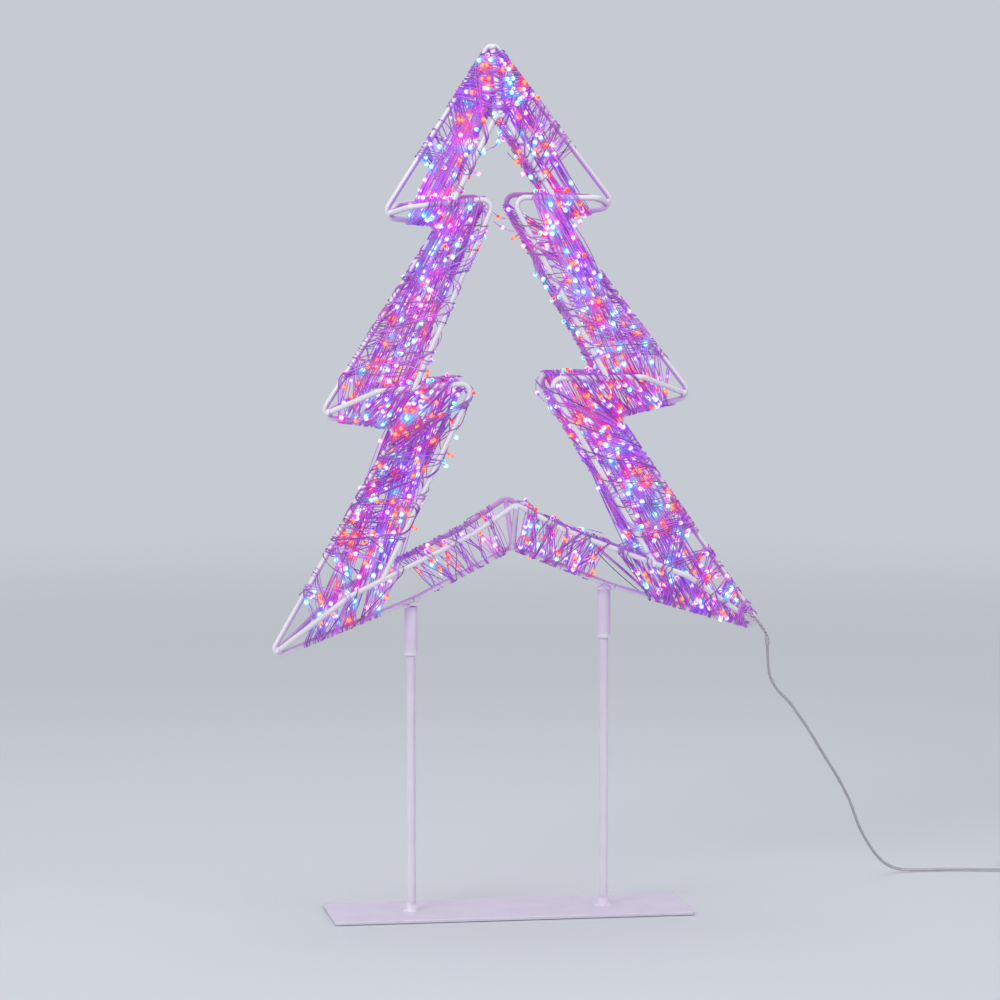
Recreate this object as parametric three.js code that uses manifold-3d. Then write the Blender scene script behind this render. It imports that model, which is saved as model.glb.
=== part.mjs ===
import * as THREE from 'three';
import { mergeVertices } from 'three/addons/utils/BufferGeometryUtils.js';
import Module from 'manifold-3d';

// A lit tree outline of white painted steel rod, wound with light strings, on a flat two-post stand.
// Millimetres, +Z up, seen from -Y. Every height is above the surface that the stand is on.

const wasm = await Module();
wasm.setup();

// Stand
const plateLength = 334;
const plateDepth = 100;
const plateThickness = 3;
const plateCornerRadius = 2;
const postDiameter = 8;
const postSpacing = 180;
const postTop = 280;
const postWeldDiameter = 16;
const postWeldHeight = 9;
const postWeldLip = 0.7;

// Tube sleeves under the tree, open below, which slip over the posts
const sleeveBore = 10;
const sleeveWall = 1;
const sleeveLength = 48;
const weldSeam = 0.3;

// Rod that the tree is bent from, and its bends
const rodDiameter = 5;
const tipBend = 8;
const bottomTipBend = 5;
const notchBend = 8;
const innerBend = 8;
const apexBend = 6;
const strutSeatStep = 1.8;

// Outer outline, from the bottom up: heights of the corners, then their distances from the centre line
const bottomTipHeight = 249;
const bottomPeakRise = 90;
const bottomKneeRise = 48;
const lowerTierRise = 206;
const lowerNotchDrop = 14;
const middleTierRise = 170;
const upperNotchDrop = 8.5;
const topTierRise = 155;
const bottomTipReach = 231;
const bottomKneeReach = 92;
const lowerNotchReach = 101;
const middleTipReach = 173.5;
const upperNotchReach = 54;
const topTipReach = 108.5;

// Inner rods, one set in front and one behind
const frameDepth = 60;
const innerApexDrop = 60;
const apexFootReach = 46.5;
const middleCornerReach = 6.8;
const middleCornerRise = 14;
const middleKneeInset = 21;
const middleKneeRise = 9.5;
const middleFootReach = 89;
const lowerCornerReach = 33;
const lowerCornerRise = 26;
const lowerKneeInset = 51;
const lowerKneeRise = 22.5;
const lowerFootReach = 126;
const chevronPeakRise = 42.5;
const chevronShoulderReach = 42;
const chevronShoulderRise = 17;
const chevronKneeReach = 157;
const chevronKneeDrop = 33;

// The tree stands a little askew on its posts, turned about its own middle
const treeTilt = THREE.MathUtils.degToRad(2.4);
const tiltCentreHeight = 450;

// Light strings
const wireDiameter = 1.3;
const wireGap = 0.4;
const ledDiameter = 3.4;
const ledLength = 4.6;
const loopWander = 0.3;
const loopWanderRate = 2.3;
const ledWander = 0.2;
const ledWanderRate = 1.7;

// Lead: clear cord, its neat coil and the supply at its far end
const cordDiameter = 3;
const strandDiameter = 1.7;
const strandTwists = 2;
const spliceDiameter = 4.6;
const spliceLength = 9;
const spliceMouthDiameter = 3.6;
const spliceTaper = 2;
const coilMiddleDiameter = 36;
const coilTurnPitch = 3.65;
const coilLayerPitch = 3.5;
const coilLayers = 4;
const turnsPerLayer = 5.5;
const coilClimbTurns = 0.5;
const coilLooseEnd = 18;
const coilCentre = new THREE.Vector2(558, 150);
const tieThickness = 0.8;
const tieWidth = 5;
const tieClearance = 0.35;
const tieCorner = 1.5;
const reliefLength = 20;
const reliefDiameter = 7.5;
const reliefNeckDiameter = 4.6;
const reliefRibs = 4;
const ribHeight = 0.5;
const ribWidth = 1.6;
const adapterLength = 42;
const adapterWidth = 34;
const adapterEdge = 4;
const pinDiameter = 4;
const pinLength = 19;
const pinSpacing = 18.6;
const pinTaper = 1;
const bindingWireDiameter = 1.2;
const bindingTurns = 3;
const bindingSetback = 18;
const bindingPitch = 2.6;
const bindingClearance = 0.4;
const bindingFrontRoom = 6;
const strandSpacing = 2.2;
const strandEndGap = 1;

// Points of the two strands over the tip, before the joint
const strandRoute = [[224, -9.4, 277], [231, -9.4, 269], [238, -9, 260]];

// Points of the free stretch of the lead, hung from the splice and laid on the floor
const leadRoute = [
  [243.3, -6, 243], [244.2, -4.2, 230], [247.5, 2, 214], [256.5, 10, 199.5], [270, 19, 186],
  [283, 28, 169.5], [295.5, 38, 152.5], [311.5, 53, 129.5], [328, 69, 106.5], [337.5, 80, 92],
  [345, 89, 79.5], [351.5, 97.5, 66], [358, 105.5, 52.5], [367, 114, 37.5], [378, 122.5, 22.5],
  [389.5, 130, 11.2], [402, 135.5, 4.6], [417, 138.8, 2], [436, 139.6, 1.6], [458, 138, 1.6],
  [480, 134, 1.6], [502, 128.7, 1.7], [522, 124.4, 2.1], [540, 122.3, 2.55],
];

const paintedSteel = new THREE.MeshStandardMaterial({ color: 0xe9e7ec, roughness: 0.45, metalness: 0.1 });
const platePaint = new THREE.MeshStandardMaterial({ color: 0xe4e2ea, roughness: 0.35, metalness: 0.1 });
const silverWire = new THREE.MeshStandardMaterial({ color: 0xb9a3c9, roughness: 0.35, metalness: 0.6 });
const clearCord = new THREE.MeshStandardMaterial({ color: 0xcfcdd2, roughness: 0.3, metalness: 0 });
const blackPlastic = new THREE.MeshStandardMaterial({ color: 0x202124, roughness: 0.5, metalness: 0 });
const nickelPlate = new THREE.MeshStandardMaterial({ color: 0xc8c9cb, roughness: 0.25, metalness: 1 });

const rodRadius = rodDiameter / 2;
const beside = rodRadius + weldSeam;

// How finely curves are cut. A bend of less than gentleBend radians takes fewer steps.
const rodSides = 8;
const turnedSides = 16;
const smallSides = 12;
const cordSides = 6;
const wireSides = 3;
const bindingSides = 5;
const gentleBend = 0.6;
const arcSteps = 4;
const kneeSteps = 2;
const edgeSteps = 3;
const weldSteps = 4;
const coilSteps = 12;
const bindingSteps = 16;
const strandSteps = 7;
const cordStep = 2.5 * cordDiameter;
const neighbourLength = 12;

const point = (x, y, z) => new THREE.Vector3(x, y, z);
const mirrored = (p) => point(-p.x, p.y, p.z);

// Corners of the tree, on its right-hand side and in its own upright frame
const tipHeight = {
  bottom: bottomTipHeight,
  middle: bottomTipHeight + lowerTierRise + lowerNotchDrop,
  top: bottomTipHeight + lowerTierRise + lowerNotchDrop + middleTierRise + upperNotchDrop,
};
const bottomTip = point(bottomTipReach, 0, tipHeight.bottom);
const bottomPeak = point(0, 0, tipHeight.bottom + bottomPeakRise);
const bottomKnee = point(bottomKneeReach, 0, tipHeight.bottom + bottomKneeRise);
const lowerNotch = point(lowerNotchReach, 0, tipHeight.middle - lowerNotchDrop);
const middleTip = point(middleTipReach, 0, tipHeight.middle);
const upperNotch = point(upperNotchReach, 0, tipHeight.top - upperNotchDrop);
const topTip = point(topTipReach, 0, tipHeight.top);
const apex = point(0, 0, tipHeight.top + topTierRise);

// A curve that is sampled only at the stations it is given, so that bends keep their corners
class StationPath extends THREE.Curve {
  constructor(stations, firstTangent = null, lastTangent = null) {
    super();
    this.stations = stations;
    this.tangents = stations.map((here, i) => {
      const before = stations[Math.max(i - 1, 0)];
      const after = stations[Math.min(i + 1, stations.length - 1)];
      const arriving = here.clone().sub(before).normalize();
      const leaving = after.clone().sub(here).normalize();
      return arriving.add(leaving).normalize();
    });
    if (firstTangent) this.tangents[0] = firstTangent.clone().normalize();
    if (lastTangent) this.tangents[stations.length - 1] = lastTangent.clone().normalize();
  }

  get steps() {
    return this.stations.length - 1;
  }

  getPointAt(u, target = new THREE.Vector3()) {
    return target.copy(this.stations[Math.round(u * this.steps)]);
  }

  getTangentAt(u, target = new THREE.Vector3()) {
    return target.copy(this.tangents[Math.round(u * this.steps)]);
  }
}

// Points of the arc that rounds off a corner, with its middle point on the corner's bisector
function arcAt(before, corner, after, radius, steps) {
  const towardBefore = before.clone().sub(corner).normalize();
  const towardAfter = after.clone().sub(corner).normalize();
  const half = towardBefore.angleTo(towardAfter) / 2;
  const bisector = towardBefore.clone().add(towardAfter).normalize();
  const centre = corner.clone().addScaledVector(bisector, radius / Math.sin(half));
  const start = corner.clone().addScaledVector(towardBefore, radius / Math.tan(half)).sub(centre);
  const end = corner.clone().addScaledVector(towardAfter, radius / Math.tan(half)).sub(centre);
  const turn = start.angleTo(end);
  const arc = [];
  for (let i = 0; i <= steps; i += 1) {
    const share = i / steps;
    const spoke = start.clone().multiplyScalar(Math.sin((1 - share) * turn) / Math.sin(turn));
    arc.push(spoke.addScaledVector(end, Math.sin(share * turn) / Math.sin(turn)).add(centre));
  }
  return arc;
}

const arcMiddle = (before, corner, after, radius) => arcAt(before, corner, after, radius, 2)[1];

// Straight runs between corners, each inner corner bent to its own radius; slight bends take fewer steps
function bentPath(corners, radii) {
  const stations = [corners[0].clone()];
  for (let i = 1; i < corners.length - 1; i += 1) {
    const arriving = corners[i].clone().sub(corners[i - 1]);
    const leaving = corners[i + 1].clone().sub(corners[i]);
    const steps = arriving.angleTo(leaving) < gentleBend ? kneeSteps : arcSteps;
    stations.push(...arcAt(corners[i - 1], corners[i], corners[i + 1], radii[i - 1], steps));
  }
  stations.push(corners.at(-1).clone());
  return stations;
}

function roundSection(radius, sides) {
  const outline = [];
  for (let i = 0; i < sides; i += 1) {
    const angle = 2 * Math.PI * (i + 0.5) / sides;
    outline.push(new THREE.Vector2(radius * Math.cos(angle), radius * Math.sin(angle)));
  }
  return new THREE.Shape(outline);
}

// A rectangle about the origin with rounded corners, from its half sizes
function roundedRectangle(halfWidth, halfHeight, corner) {
  const [x, y] = [halfWidth - corner, halfHeight - corner];
  const outline = new THREE.Shape();
  outline.absarc(x, y, corner, 0, Math.PI / 2);
  outline.absarc(-x, y, corner, Math.PI / 2, Math.PI);
  outline.absarc(-x, -y, corner, Math.PI, 1.5 * Math.PI);
  outline.absarc(x, -y, corner, 1.5 * Math.PI, 2 * Math.PI);
  return outline;
}

const prism = (outline, depth) => (
  new THREE.ExtrudeGeometry(outline, { depth, bevelEnabled: false, curveSegments: edgeSteps })
);

// A solid round bar along a path
function bar(path, radius, sides = rodSides) {
  const section = roundSection(radius, sides);
  return new THREE.ExtrudeGeometry(section, { steps: path.steps, extrudePath: path, bevelEnabled: false });
}

// A round wire along its points, with its own radius at each of them
function wire(points, radii, sides) {
  const path = new StationPath(points);
  const frames = path.computeFrenetFrames(path.steps, false);
  const positions = [];
  points.forEach((centre, i) => {
    for (let k = 0; k < sides; k += 1) {
      const angle = 2 * Math.PI * k / sides;
      const corner = centre.clone();
      corner.addScaledVector(frames.normals[i], radii[i] * Math.cos(angle));
      corner.addScaledVector(frames.binormals[i], radii[i] * Math.sin(angle));
      positions.push(corner.x, corner.y, corner.z);
    }
  });
  const indices = [];
  for (let i = 0; i < points.length - 1; i += 1) {
    for (let k = 0; k < sides; k += 1) {
      const a = i * sides + k;
      const b = i * sides + (k + 1) % sides;
      indices.push(a, b, b + sides, a, b + sides, a + sides);
    }
  }
  const last = (points.length - 1) * sides;
  for (let k = 1; k < sides - 1; k += 1) {
    indices.push(0, k + 1, k);
    indices.push(last, last + k, last + k + 1);
  }
  const geometry = new THREE.BufferGeometry();
  geometry.setAttribute('position', new THREE.Float32BufferAttribute(positions, 3));
  geometry.setIndex(indices);
  return geometry;
}

// Least gap of a wire to itself, measured on points about a millimetre apart along its middle. Pairs nearer
// than neighbourLength along the wire are left out.
function leastGap(points, radii) {
  const samples = [];
  let travelled = 0;
  for (let i = 0; i < points.length - 1; i += 1) {
    const span = points[i].distanceTo(points[i + 1]);
    const parts = Math.ceil(span);
    for (let k = 0; k < parts; k += 1) {
      const share = k / parts;
      const place = points[i].clone().lerp(points[i + 1], share);
      const radius = radii[i] + (radii[i + 1] - radii[i]) * share;
      samples.push({ place, radius, at: travelled + span * share });
    }
    travelled += span;
  }
  let least = Infinity;
  for (let i = 0; i < samples.length; i += 1) {
    for (let k = i + 1; k < samples.length; k += 1) {
      const a = samples[i];
      const b = samples[k];
      if (b.at - a.at < neighbourLength) continue;
      least = Math.min(least, a.place.distanceTo(b.place) - a.radius - b.radius);
    }
  }
  return { least, length: travelled };
}

function toSolid(geometry) {
  const shared = geometry.clone();
  shared.deleteAttribute('normal');
  shared.deleteAttribute('uv');
  const welded = mergeVertices(shared, 1e-4);
  return new wasm.Manifold(new wasm.Mesh({
    numProp: 3,
    vertProperties: new Float32Array(welded.attributes.position.array),
    triVerts: new Uint32Array(welded.index.array),
  }));
}

function toGeometry(solid) {
  const mesh = solid.getMesh();
  const geometry = new THREE.BufferGeometry();
  geometry.setAttribute('position', new THREE.BufferAttribute(mesh.vertProperties, 3));
  geometry.setIndex(new THREE.BufferAttribute(mesh.triVerts, 1));
  return geometry;
}

// Cuts a piece back so that it meets each of the given rods with the weld seam between
function cope(geometry, rodPaths) {
  let solid = toSolid(geometry);
  for (const path of rodPaths) solid = solid.subtract(toSolid(bar(path, beside)));
  return toGeometry(solid);
}

const group = new THREE.Group();
const tree = new THREE.Group();
tree.rotation.y = -treeTilt;
tree.position.copy(point(0, 0, tiltCentreHeight));
tree.position.sub(point(0, 0, tiltCentreHeight).applyEuler(tree.rotation));
tree.updateMatrix();
group.add(tree);

function add(parent, name, geometry, material) {
  geometry.computeVertexNormals();
  const mesh = new THREE.Mesh(geometry, material);
  mesh.name = name;
  parent.add(mesh);
  return mesh;
}

// A ring turned about the Z axis from its profile of [radius, height] pairs
function turned(profile, segments = turnedSides) {
  const outline = profile.map(([radius, height]) => new THREE.Vector2(radius, height));
  return new THREE.LatheGeometry(outline, segments).rotateX(Math.PI / 2);
}

function post() {
  const length = postTop - plateThickness - weldSeam;
  const rod = new THREE.CylinderGeometry(postDiameter / 2, postDiameter / 2, length, turnedSides);
  return rod.rotateX(Math.PI / 2).translate(0, 0, plateThickness + weldSeam + length / 2);
}

// A weld that falls away from the post in a hollow curve
function postWeld() {
  const inner = postDiameter / 2 + weldSeam;
  const spread = postWeldDiameter / 2 - inner - postWeldLip;
  const foot = plateThickness + weldSeam;
  const profile = [[inner, foot]];
  for (let i = 0; i <= weldSteps; i += 1) {
    const rise = i / weldSteps;
    profile.push([inner + postWeldLip + spread * (1 - rise) ** 2, foot + postWeldHeight * rise]);
  }
  profile.push([inner, foot + postWeldHeight], [inner, foot]);
  return turned(profile);
}

const plateOutline = roundedRectangle(plateLength / 2, plateDepth / 2, plateCornerRadius);
add(group, 'base_plate', prism(plateOutline, plateThickness), platePaint);

// Outer outline: one bent rod on each side, the two welded at the apex and at the bottom peak
function outerPath(side) {
  const flip = (p) => (side > 0 ? p.clone() : mirrored(p));
  const corners = [mirrored(topTip), apex, topTip, upperNotch, middleTip, lowerNotch, bottomTip, bottomKnee,
    bottomPeak, mirrored(bottomKnee)];
  const radii = [apexBend, tipBend, notchBend, tipBend, notchBend, bottomTipBend, innerBend, innerBend];
  const stations = bentPath(corners, radii).filter((p) => p.x > -1e-6);
  stations[0].x = weldSeam / 2;
  stations.at(-1).x = weldSeam / 2;
  return new StationPath(stations.map(flip), point(side, 0, 0), point(-side, 0, 0));
}

const outerPaths = { left: outerPath(-1), right: outerPath(1) };

// Where an inner rod ends against the inside of a bent tip of the outer rod
function tipSeat(before, tip, after, bend, frontOrBack) {
  const middle = arcMiddle(before, tip, after, bend);
  const inward = middle.clone().sub(tip).normalize();
  const seat = middle.addScaledVector(inward, beside);
  seat.y = frontOrBack * beside;
  return seat;
}

// Height of a run of corners at a distance from the centre line
function heightAt(corners, reach) {
  for (let i = 0; i < corners.length - 1; i += 1) {
    const [near, far] = [corners[i], corners[i + 1]].sort((a, b) => a.x - b.x);
    if (reach >= near.x && reach <= far.x) {
      return near.z + (far.z - near.z) * (reach - near.x) / (far.x - near.x);
    }
  }
  return corners.at(-1).z;
}

// Corners of the inner rods of one plane, on the right-hand side
function innerCorners(frontOrBack) {
  const y = frontOrBack * frameDepth / 2;
  const chevron = [
    point(0, y, bottomPeak.z + chevronPeakRise),
    point(chevronShoulderReach, y, bottomPeak.z + chevronShoulderRise),
    point(chevronKneeReach, y, bottomPeak.z - chevronKneeDrop),
    tipSeat(lowerNotch, bottomTip, bottomKnee, bottomTipBend, frontOrBack),
  ];
  const lowerBar = [
    tipSeat(upperNotch, middleTip, lowerNotch, tipBend, frontOrBack),
    point(middleTipReach - lowerKneeInset, y, middleTip.z + lowerKneeRise),
    point(lowerCornerReach, y, middleTip.z + lowerCornerRise),
  ];
  const middleBar = [
    tipSeat(apex, topTip, upperNotch, tipBend, frontOrBack),
    point(topTipReach - middleKneeInset, y, topTip.z + middleKneeRise),
    point(middleCornerReach, y, topTip.z + middleCornerRise),
  ];
  const lowerFoot = point(lowerFootReach, y, heightAt(chevron, lowerFootReach));
  const middleFoot = point(middleFootReach, y, heightAt(lowerBar, middleFootReach));
  const apexFoot = point(apexFootReach, y, heightAt(middleBar, apexFootReach));
  const innerApex = point(0, y, apex.z - innerApexDrop);
  return { chevron, lowerBar, middleBar, lowerFoot, middleFoot, apexFoot, innerApex };
}

const planes = { front: innerCorners(-1), back: innerCorners(1) };
const sides = { left: -1, right: 1 };

for (const side of Object.keys(sides)) {
  add(tree, `outer_rod_${side}`, bar(outerPaths[side], rodRadius), paintedSteel);
}

const bothOuter = [outerPaths.left, outerPaths.right];
for (const [plane, inner] of Object.entries(planes)) {
  const chevronHalf = inner.chevron;
  const chevronCorners = [...chevronHalf.slice(1).reverse().map(mirrored), ...chevronHalf];
  const chevronBends = Array(chevronCorners.length - 2).fill(innerBend);
  const chevronPath = new StationPath(bentPath(chevronCorners, chevronBends));
  add(tree, `${plane}_chevron_rod`, cope(bar(chevronPath, rodRadius), bothOuter), paintedSteel);

  const middlePaths = [];
  for (const [side, sign] of Object.entries(sides)) {
    const flip = (p) => (sign > 0 ? p.clone() : mirrored(p));
    const lowerCorners = [...inner.lowerBar, inner.lowerFoot].map(flip);
    const lowerPath = new StationPath(bentPath(lowerCorners, [innerBend, innerBend]));
    const middleCorners = [...inner.middleBar, inner.middleFoot].map(flip);
    const middlePath = new StationPath(bentPath(middleCorners, [innerBend, innerBend]));
    middlePaths.push(middlePath);
    const outer = outerPaths[side];
    const lowerRod = cope(bar(lowerPath, rodRadius), [outer, chevronPath]);
    const middleRod = cope(bar(middlePath, rodRadius), [outer, lowerPath]);
    add(tree, `${plane}_${side}_lower_rod`, lowerRod, paintedSteel);
    add(tree, `${plane}_${side}_middle_rod`, middleRod, paintedSteel);
  }

  const apexCorners = [mirrored(inner.apexFoot), inner.innerApex, inner.apexFoot];
  const apexPath = new StationPath(bentPath(apexCorners, [innerBend]));
  add(tree, `${plane}_apex_rod`, cope(bar(apexPath, rodRadius), middlePaths), paintedSteel);

  const sign = Math.sign(inner.innerApex.y);
  const topStrut = new StationPath([
    arcMiddle(mirrored(topTip), apex, topTip, apexBend).add(point(0, sign * beside, -strutSeatStep)),
    arcMiddle(mirrored(inner.apexFoot), inner.innerApex, inner.apexFoot, innerBend),
  ]);
  add(tree, `${plane}_top_strut`, cope(bar(topStrut, rodRadius), [...bothOuter, apexPath]), paintedSteel);
  const bottomSeat = arcMiddle(mirrored(bottomKnee), bottomPeak, bottomKnee, innerBend);
  const bottomStrut = new StationPath([
    arcMiddle(mirrored(chevronHalf[1]), chevronHalf[0], chevronHalf[1], innerBend),
    bottomSeat.add(point(0, sign * beside, strutSeatStep)),
  ]);
  const bottomSeats = [...bothOuter, chevronPath];
  add(tree, `${plane}_bottom_strut`, cope(bar(bottomStrut, rodRadius), bottomSeats), paintedSteel);
}

// Sleeves stand upright on their posts, each with its top coped to the tilted rod over it
function rodHeightOver(x) {
  let height = Infinity;
  for (const path of bothOuter) {
    const placed = path.stations.map((p) => p.clone().applyMatrix4(tree.matrix));
    for (let i = 0; i < placed.length - 1; i += 1) {
      const [near, far] = [placed[i], placed[i + 1]].sort((a, b) => a.x - b.x);
      if (x < near.x || x > far.x || near.x === far.x) continue;
      height = Math.min(height, near.z + (far.z - near.z) * (x - near.x) / (far.x - near.x));
    }
  }
  return height;
}

function sleeve(x) {
  const inner = sleeveBore / 2;
  const outer = inner + sleeveWall;
  const top = rodHeightOver(x) - beside;
  const bottom = top - sleeveLength;
  const tube = turned([[inner, bottom], [outer, bottom], [outer, top], [inner, top], [inner, bottom]]);
  let solid = toSolid(tube.translate(x, 0, 0));
  for (const path of bothOuter) {
    solid = solid.subtract(toSolid(bar(path, beside).applyMatrix4(tree.matrix)));
  }
  return toGeometry(solid);
}

for (const [side, sign] of Object.entries(sides)) {
  const x = sign * postSpacing / 2;
  add(group, `${side}_post`, post(), paintedSteel).position.x = x;
  add(group, `${side}_post_weld`, postWeld(), paintedSteel).position.x = x;
  add(group, `${side}_sleeve`, sleeve(x), paintedSteel);
}

// A string wound round rods that run side by side. Each rail is the stretch of one rod, in order round the
// limb, and the wire lies against the outside of each rod in turn. Every few runs carry a light drop.
function lightString(rails, loops, ledEvery) {
  const count = rails.length;
  const reach = rodRadius + wireGap + wireDiameter / 2;
  const axis = point(0, 0, 0);
  for (const [start, end] of rails) axis.add(end).sub(start);
  axis.normalize();
  const outward = (from, to, centre) => {
    const normal = to.clone().sub(from).cross(axis).normalize();
    const side = from.clone().add(to).multiplyScalar(0.5).sub(centre);
    return normal.dot(side) < 0 ? normal.negate() : normal;
  };
  const turns = [];
  for (let step = 0; step <= loops * count; step += 1) {
    const wandered = step + loopWander * Math.sin(loopWanderRate * step);
    const share = THREE.MathUtils.clamp(wandered / (loops * count), 0, 1);
    const section = rails.map(([start, end]) => start.clone().lerp(end, share));
    const centre = section.reduce((sum, p) => sum.add(p), point(0, 0, 0)).divideScalar(count);
    const here = section[step % count];
    const arriving = outward(section[(step + count - 1) % count], here, centre);
    const leaving = outward(here, section[(step + 1) % count], centre);
    const middle = arriving.clone().add(leaving).normalize();
    const distance = reach / Math.cos(arriving.angleTo(leaving) / 4);
    const entry = here.clone().addScaledVector(arriving.add(middle).normalize(), distance);
    const exit = here.clone().addScaledVector(leaving.add(middle).normalize(), distance);
    turns.push({ entry, exit });
  }
  const points = [];
  const radii = [];
  const push = (place, radius) => {
    points.push(place);
    radii.push(radius);
  };
  turns.forEach(({ entry, exit }, step) => {
    push(entry, wireDiameter / 2);
    push(exit, wireDiameter / 2);
    const next = turns[step + 1];
    if (!next || step % ledEvery !== 0) return;
    const run = next.entry.clone().sub(exit);
    const drop = exit.clone().addScaledVector(run, 0.5 + ledWander * Math.sin(ledWanderRate * step));
    run.setLength(ledLength / 2);
    push(drop.clone().sub(run), wireDiameter / 2);
    push(drop, ledDiameter / 2);
    push(drop.clone().add(run), wireDiameter / 2);
  });
  return { points, radii };
}

const stretch = (from, to, start, end) => [from.clone().lerp(to, start), from.clone().lerp(to, end)];

// The limbs that carry a string, each as the stretches of its rods on the right-hand side
const limbs = {
  top: {
    rails: [
      stretch(apex, topTip, 0.2, 0.8),
      stretch(planes.front.innerApex, planes.front.apexFoot, 0.2, 0.86),
      stretch(planes.back.innerApex, planes.back.apexFoot, 0.2, 0.86),
    ],
    loops: 12,
    ledEvery: 4,
  },
  middle: {
    rails: [
      stretch(upperNotch, middleTip, 0.1, 0.82),
      stretch(planes.front.middleBar[2], planes.front.middleFoot, 0.1, 0.93),
      stretch(planes.back.middleBar[2], planes.back.middleFoot, 0.1, 0.93),
    ],
    loops: 15,
    ledEvery: 4,
  },
  lower: {
    rails: [
      stretch(lowerNotch, bottomTip, 0.09, 0.7),
      stretch(planes.front.lowerBar[2], planes.front.lowerFoot, 0.1, 0.92),
      stretch(planes.back.lowerBar[2], planes.back.lowerFoot, 0.1, 0.92),
    ],
    loops: 15,
    ledEvery: 4,
  },
  bottom: {
    rails: [
      stretch(bottomPeak, bottomKnee, 0.4, 1),
      stretch(planes.front.chevron[1], planes.front.chevron[2], 0.02, 0.62),
      stretch(planes.back.chevron[1], planes.back.chevron[2], 0.02, 0.62),
    ],
    loops: 6,
    ledEvery: 4,
  },
};

for (const [limb, { rails, loops, ledEvery }] of Object.entries(limbs)) {
  for (const [side, sign] of Object.entries(sides)) {
    const flipped = rails.map((rail) => rail.map((p) => (sign > 0 ? p.clone() : mirrored(p))));
    const { points, radii } = lightString(flipped, loops, ledEvery);
    const { least } = leastGap(points, radii);
    console.log(`light_string_${limb}_${side}: least gap to itself ${least.toFixed(2)} mm`);
    add(tree, `light_string_${limb}_${side}`, wire(points, radii, wireSides), silverWire);
  }
}

// Wire binding that holds the strings' two leads to the bottom right tip. Its turns widen with the rods that
// spread from the tip, and take in the two strands that lie in front of them.
function bindingWire() {
  const { chevron } = planes.back;
  const [knee, seat] = chevron.slice(-2).map((p) => p.clone().sub(bottomTip));
  const toNotch = lowerNotch.clone().sub(bottomTip).normalize();
  const toKnee = bottomKnee.clone().sub(bottomTip).normalize();
  const inward = toNotch.clone().add(toKnee).normalize();
  const across = point(-inward.z, 0, inward.x);
  const halfAngle = toNotch.angleTo(toKnee) / 2;
  const spread = (knee.y - seat.y) / (knee.dot(inward) - seat.dot(inward));
  const outside = bindingClearance + bindingWireDiameter / 2;
  const besideInner = rodRadius / Math.cos(Math.atan(spread)) + outside;
  const points = [];
  for (let i = 0; i <= bindingTurns * bindingSteps; i += 1) {
    const angle = 2 * Math.PI * i / bindingSteps;
    const along = bindingSetback + bindingPitch * i / bindingSteps;
    const tall = along * Math.tan(halfAngle) + rodRadius / Math.cos(halfAngle) + outside;
    const back = seat.y + spread * (along - seat.dot(inward)) + besideInner;
    const depth = Math.sin(angle) > 0 ? back : back + bindingFrontRoom;
    const place = bottomTip.clone().addScaledVector(inward, along);
    place.addScaledVector(across, tall * Math.cos(angle));
    place.y = depth * Math.sin(angle);
    points.push(place);
  }
  return points;
}

// The free stretch runs from the joint to the coil, which it meets straight on
const coilMouth = coilPoints()[0].add(point(-weldSeam, 0, 0));
const route = leadRoute.map(([x, y, z]) => point(x, y, z));
route.push(coilMouth.clone().add(point(-cordDiameter, 0, 0)), coilMouth);
const routeStart = route[0];
const routeDown = route[1].clone().sub(route[0]).normalize();

// A smooth run of cord through its points, with a station every few diameters
function cordStations(points) {
  const curve = new THREE.CatmullRomCurve3(points, false, 'centripetal');
  return curve.getSpacedPoints(Math.round(curve.getLength() / cordStep));
}

// Two strands twisted about each other along a short curve, from the tip down to the joint
function leadStrand(phase) {
  const top = routeStart.clone().addScaledVector(routeDown, -spliceLength - strandEndGap);
  const curve = new THREE.CatmullRomCurve3([...strandRoute.map(([x, y, z]) => point(x, y, z)), top]);
  const steps = strandTwists * strandSteps;
  const frames = curve.computeFrenetFrames(steps, false);
  const points = [];
  for (let i = 0; i <= steps; i += 1) {
    const angle = phase + 2 * Math.PI * strandTwists * i / steps;
    const place = curve.getPointAt(i / steps);
    place.addScaledVector(frames.normals[i], strandSpacing / 2 * Math.cos(angle));
    place.addScaledVector(frames.binormals[i], strandSpacing / 2 * Math.sin(angle));
    points.push(place);
  }
  return points;
}

// Moulded joint of the strands and the lead, drawn in at both ends
function splice() {
  const [mouth, wide] = [spliceMouthDiameter / 2, spliceDiameter / 2];
  const profile = [[0, 0], [mouth, 0], [wide, spliceTaper], [wide, spliceLength - spliceTaper],
    [mouth, spliceLength], [0, spliceLength]];
  const body = turned(profile, smallSides);
  const up = routeDown.clone().negate();
  body.applyQuaternion(new THREE.Quaternion().setFromUnitVectors(point(0, 0, 1), up));
  const foot = routeStart.clone().addScaledVector(up, weldSeam);
  return body.translate(foot.x, foot.y, foot.z);
}

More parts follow.
